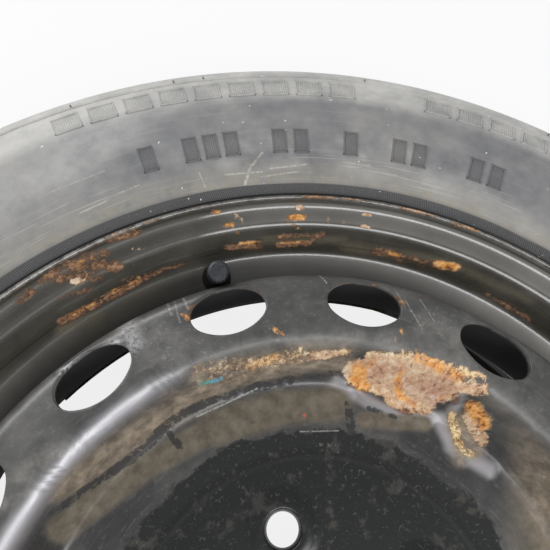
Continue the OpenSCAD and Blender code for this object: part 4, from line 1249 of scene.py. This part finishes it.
def ring_mesh(name, part, count, at_radius, start, step, slant=0.0, sink=0.1, height=None, tilt=None):
    """A ring of equal marks on the sidewall: places round the wheel and slant in degrees, the rest in mm."""
    points, faces = part
    base = bpy.data.meshes.new(name)
    base.from_pydata(((points - [0, 0, sink]) * mm).tolist(), [], faces)
    level, slope = on_wall(at_radius) if height is None else (height, tilt)
    return grown(
        ring_of, base, name, Count=count, Ring_Radius=at_radius * mm, Height=level * mm,
        Start=math.radians(start), Step=math.radians(step), Tilt=slope, Slant=math.radians(slant),
        Finish=tyre_finish,
    )


rib_mesh = ring_mesh(
    "side_ribs", ridge(0.5, 3.4, 0.35), 1440, 208.5, 0, 0.25, 12, 0.05, 60.4 + rim_middle, math.radians(17)
)
give(rib_mesh, dark=0.72)
piece("side_ribs", rib_mesh, tyre_finish)


def hatched(wide, long, line, tall, pitch, share=0.5):
    """A block that is a raised frame filled with fine upright ribs."""
    side, end = wide / 2 - line / 2, long / 2 - line / 2
    frame_bars = ((-side, 0, long, 0), (side, 0, long, 0), (0, -end, wide, 1), (0, end, wide, 1))
    bars = []
    for x, y, l, lying in frame_bars:
        p, f = ridge(line, l, tall)
        p = p[:, [1, 0, 2]] * [-1, 1, 1] if lying else p
        bars.append((p + [x, y, 0], f))
    ribs = round((wide - line) / pitch)
    for k in range(1, ribs):
        p, f = ridge(pitch * share, long - 2 * line, tall * 0.6)
        bars.append((p + [(wide - line) * (k / ribs - 0.5), 0, 0], f))
    return joined(bars)


big, small = hatched(14.5, 13.6, 0.9, 0.55, 1.1), hatched(7.6, 14.5, 0.9, 0.5, 1.0, 0.85)
big_groups = (("a", 9, -11.6), ("b", 8, 31), ("c", 9, 100), ("d", 8, 180), ("e", 9, 260))
groups = [(f"big_marks_{k}", big, count, 274.2, start, 3.9) for k, count, start in big_groups]
small_groups = (
    ("a", 1, 234.6, 0, 2.4), ("b", 3, 234.6, 5.2, 2.5), (
        "c", 2, 234.6, 16.2, 2.7
    ), ("d", 1, 234.6, 25.2, 2.4),
    ("e", 2, 234.6, 31.4, 2.6), ("f", 2, 236, 41.3, 2.6),
)
for k, first in enumerate((-4.7, 180)):
    for letter, count, at_radius, further, step in small_groups:
        groups.append((f"size_marks_{k}{letter}", small, count, at_radius, first + further, step))
for name, part, count, at_radius, start, step in groups:
    marks_mesh = ring_mesh(name, part, count, at_radius, start, step)
    big_mark = 1.0 if name.startswith("big") else 0.0
    give(marks_mesh, pale=0.85 * big_mark, clean=1 - big_mark)
    piece(name, marks_mesh, tyre_finish)

nub_rings = ((0.7, 0.0), (0.45, 0.4), (0.35, 1.3))
eighths = np.radians(range(0, 360, 45))
nub_points = [(r * math.cos(a), r * math.sin(a), z) for r, z in nub_rings for a in eighths]
nub_faces = quads(0, 8, 8) + quads(8, 16, 8) + [tuple(range(16, 24)), tuple(range(7, -1, -1))]
for name, count, start, step in (("mould_nubs_a", 17, 0.7, 21.8), ("mould_nubs_b", 8, 4.0, 45.0)):
    nub_mesh = ring_mesh(name, (np.array(nub_points), nub_faces), count, 288.5, start, step)
    give(nub_mesh, dark=0.45)
    piece(name, nub_mesh, tyre_finish)


# ---- Floor, light and camera --------------------------------------------------------------------
# The wheel lies on a plain white floor between two soft strip lamps, seen from above and close to.
# The floor shows nearly white to the camera, and lights the wheel as a light grey floor does.

floor_level, floor_reach = -0.0849, 6
floor_mesh = bpy.data.meshes.new("floor")
floor_corners = [
    (x * floor_reach, y * floor_reach, floor_level) for x, y in ((-1, -1), (1, -1), (1, 1), (-1, 1))
]
floor_mesh.from_pydata(floor_corners, [], [(0, 1, 2, 3)])
floor = in_scene("floor", floor_mesh)
floor_finish = bpy.data.materials.new("white floor")
floor_finish.use_nodes = True
tree = floor_finish.node_tree
tree.nodes.clear()
lit = put(tree, "ShaderNodeBsdfDiffuse", Color=(0.8, 0.8, 0.8, 1))
plain = put(tree, "ShaderNodeEmission", Color=(1, 1, 1, 1), Strength=1.0)
path = put(tree, "ShaderNodeLightPath").outputs
seen = most(most(path["Is Camera Ray"], path["Is Glossy Ray"]), path["Is Transmission Ray"])
mixed = tree.nodes.new("ShaderNodeMixShader")
for socket, value in zip(mixed.inputs, (times(seen, 0.85), lit.outputs[0], plain.outputs[0])):
    join(socket, value)
put(tree, "ShaderNodeOutputMaterial", Surface=mixed.outputs[0])
floor_mesh.materials.append(floor_finish)

world = bpy.data.worlds.new("soft studio")
bpy.context.scene.world = world
world.use_nodes = True
world.node_tree.nodes.clear()
soft = put(world.node_tree, "ShaderNodeBackground", Color=(0.97, 0.98, 1, 1), Strength=0.42)
put(world.node_tree, "ShaderNodeOutputWorld", Surface=soft.outputs[0])

aim = Vector((0, 0.15, 0))
lamps = (("strip light", 1.5, (0.03, -0.95, 1.08)), ("back light", 1.4, (-0.7, 1.4, 0.55)))
for name, wide, place in lamps:
    lamp_data = bpy.data.lights.new(name, "AREA")
    lamp_data.shape, lamp_data.size, lamp_data.size_y, lamp_data.energy = "RECTANGLE", wide, 0.5, 16
    lamp = in_scene(name, lamp_data)
    lamp.location = Vector(place)
    lamp.rotation_euler = (aim - lamp.location).to_track_quat("-Z", "Y").to_euler()

camera_data = bpy.data.cameras.new("camera")
camera_data.sensor_width, camera_data.lens = 36, 30.453
camera_data.clip_start, camera_data.clip_end = 0.01, 30
camera = in_scene("camera", camera_data)
off_middle = 0.00317
right, up, ahead = (Vector(way) for way in sight)
ahead = (ahead + off_middle * right - off_middle * up).normalized()
right = ahead.cross(up).normalized()
up = right.cross(ahead)
camera.matrix_world = Matrix.Translation(Vector(eye) * mm) @ Matrix((right, up, -ahead)).transposed().to_4x4()
bpy.context.scene.camera = camera
bpy.context.scene.view_settings.view_transform = "Standard"
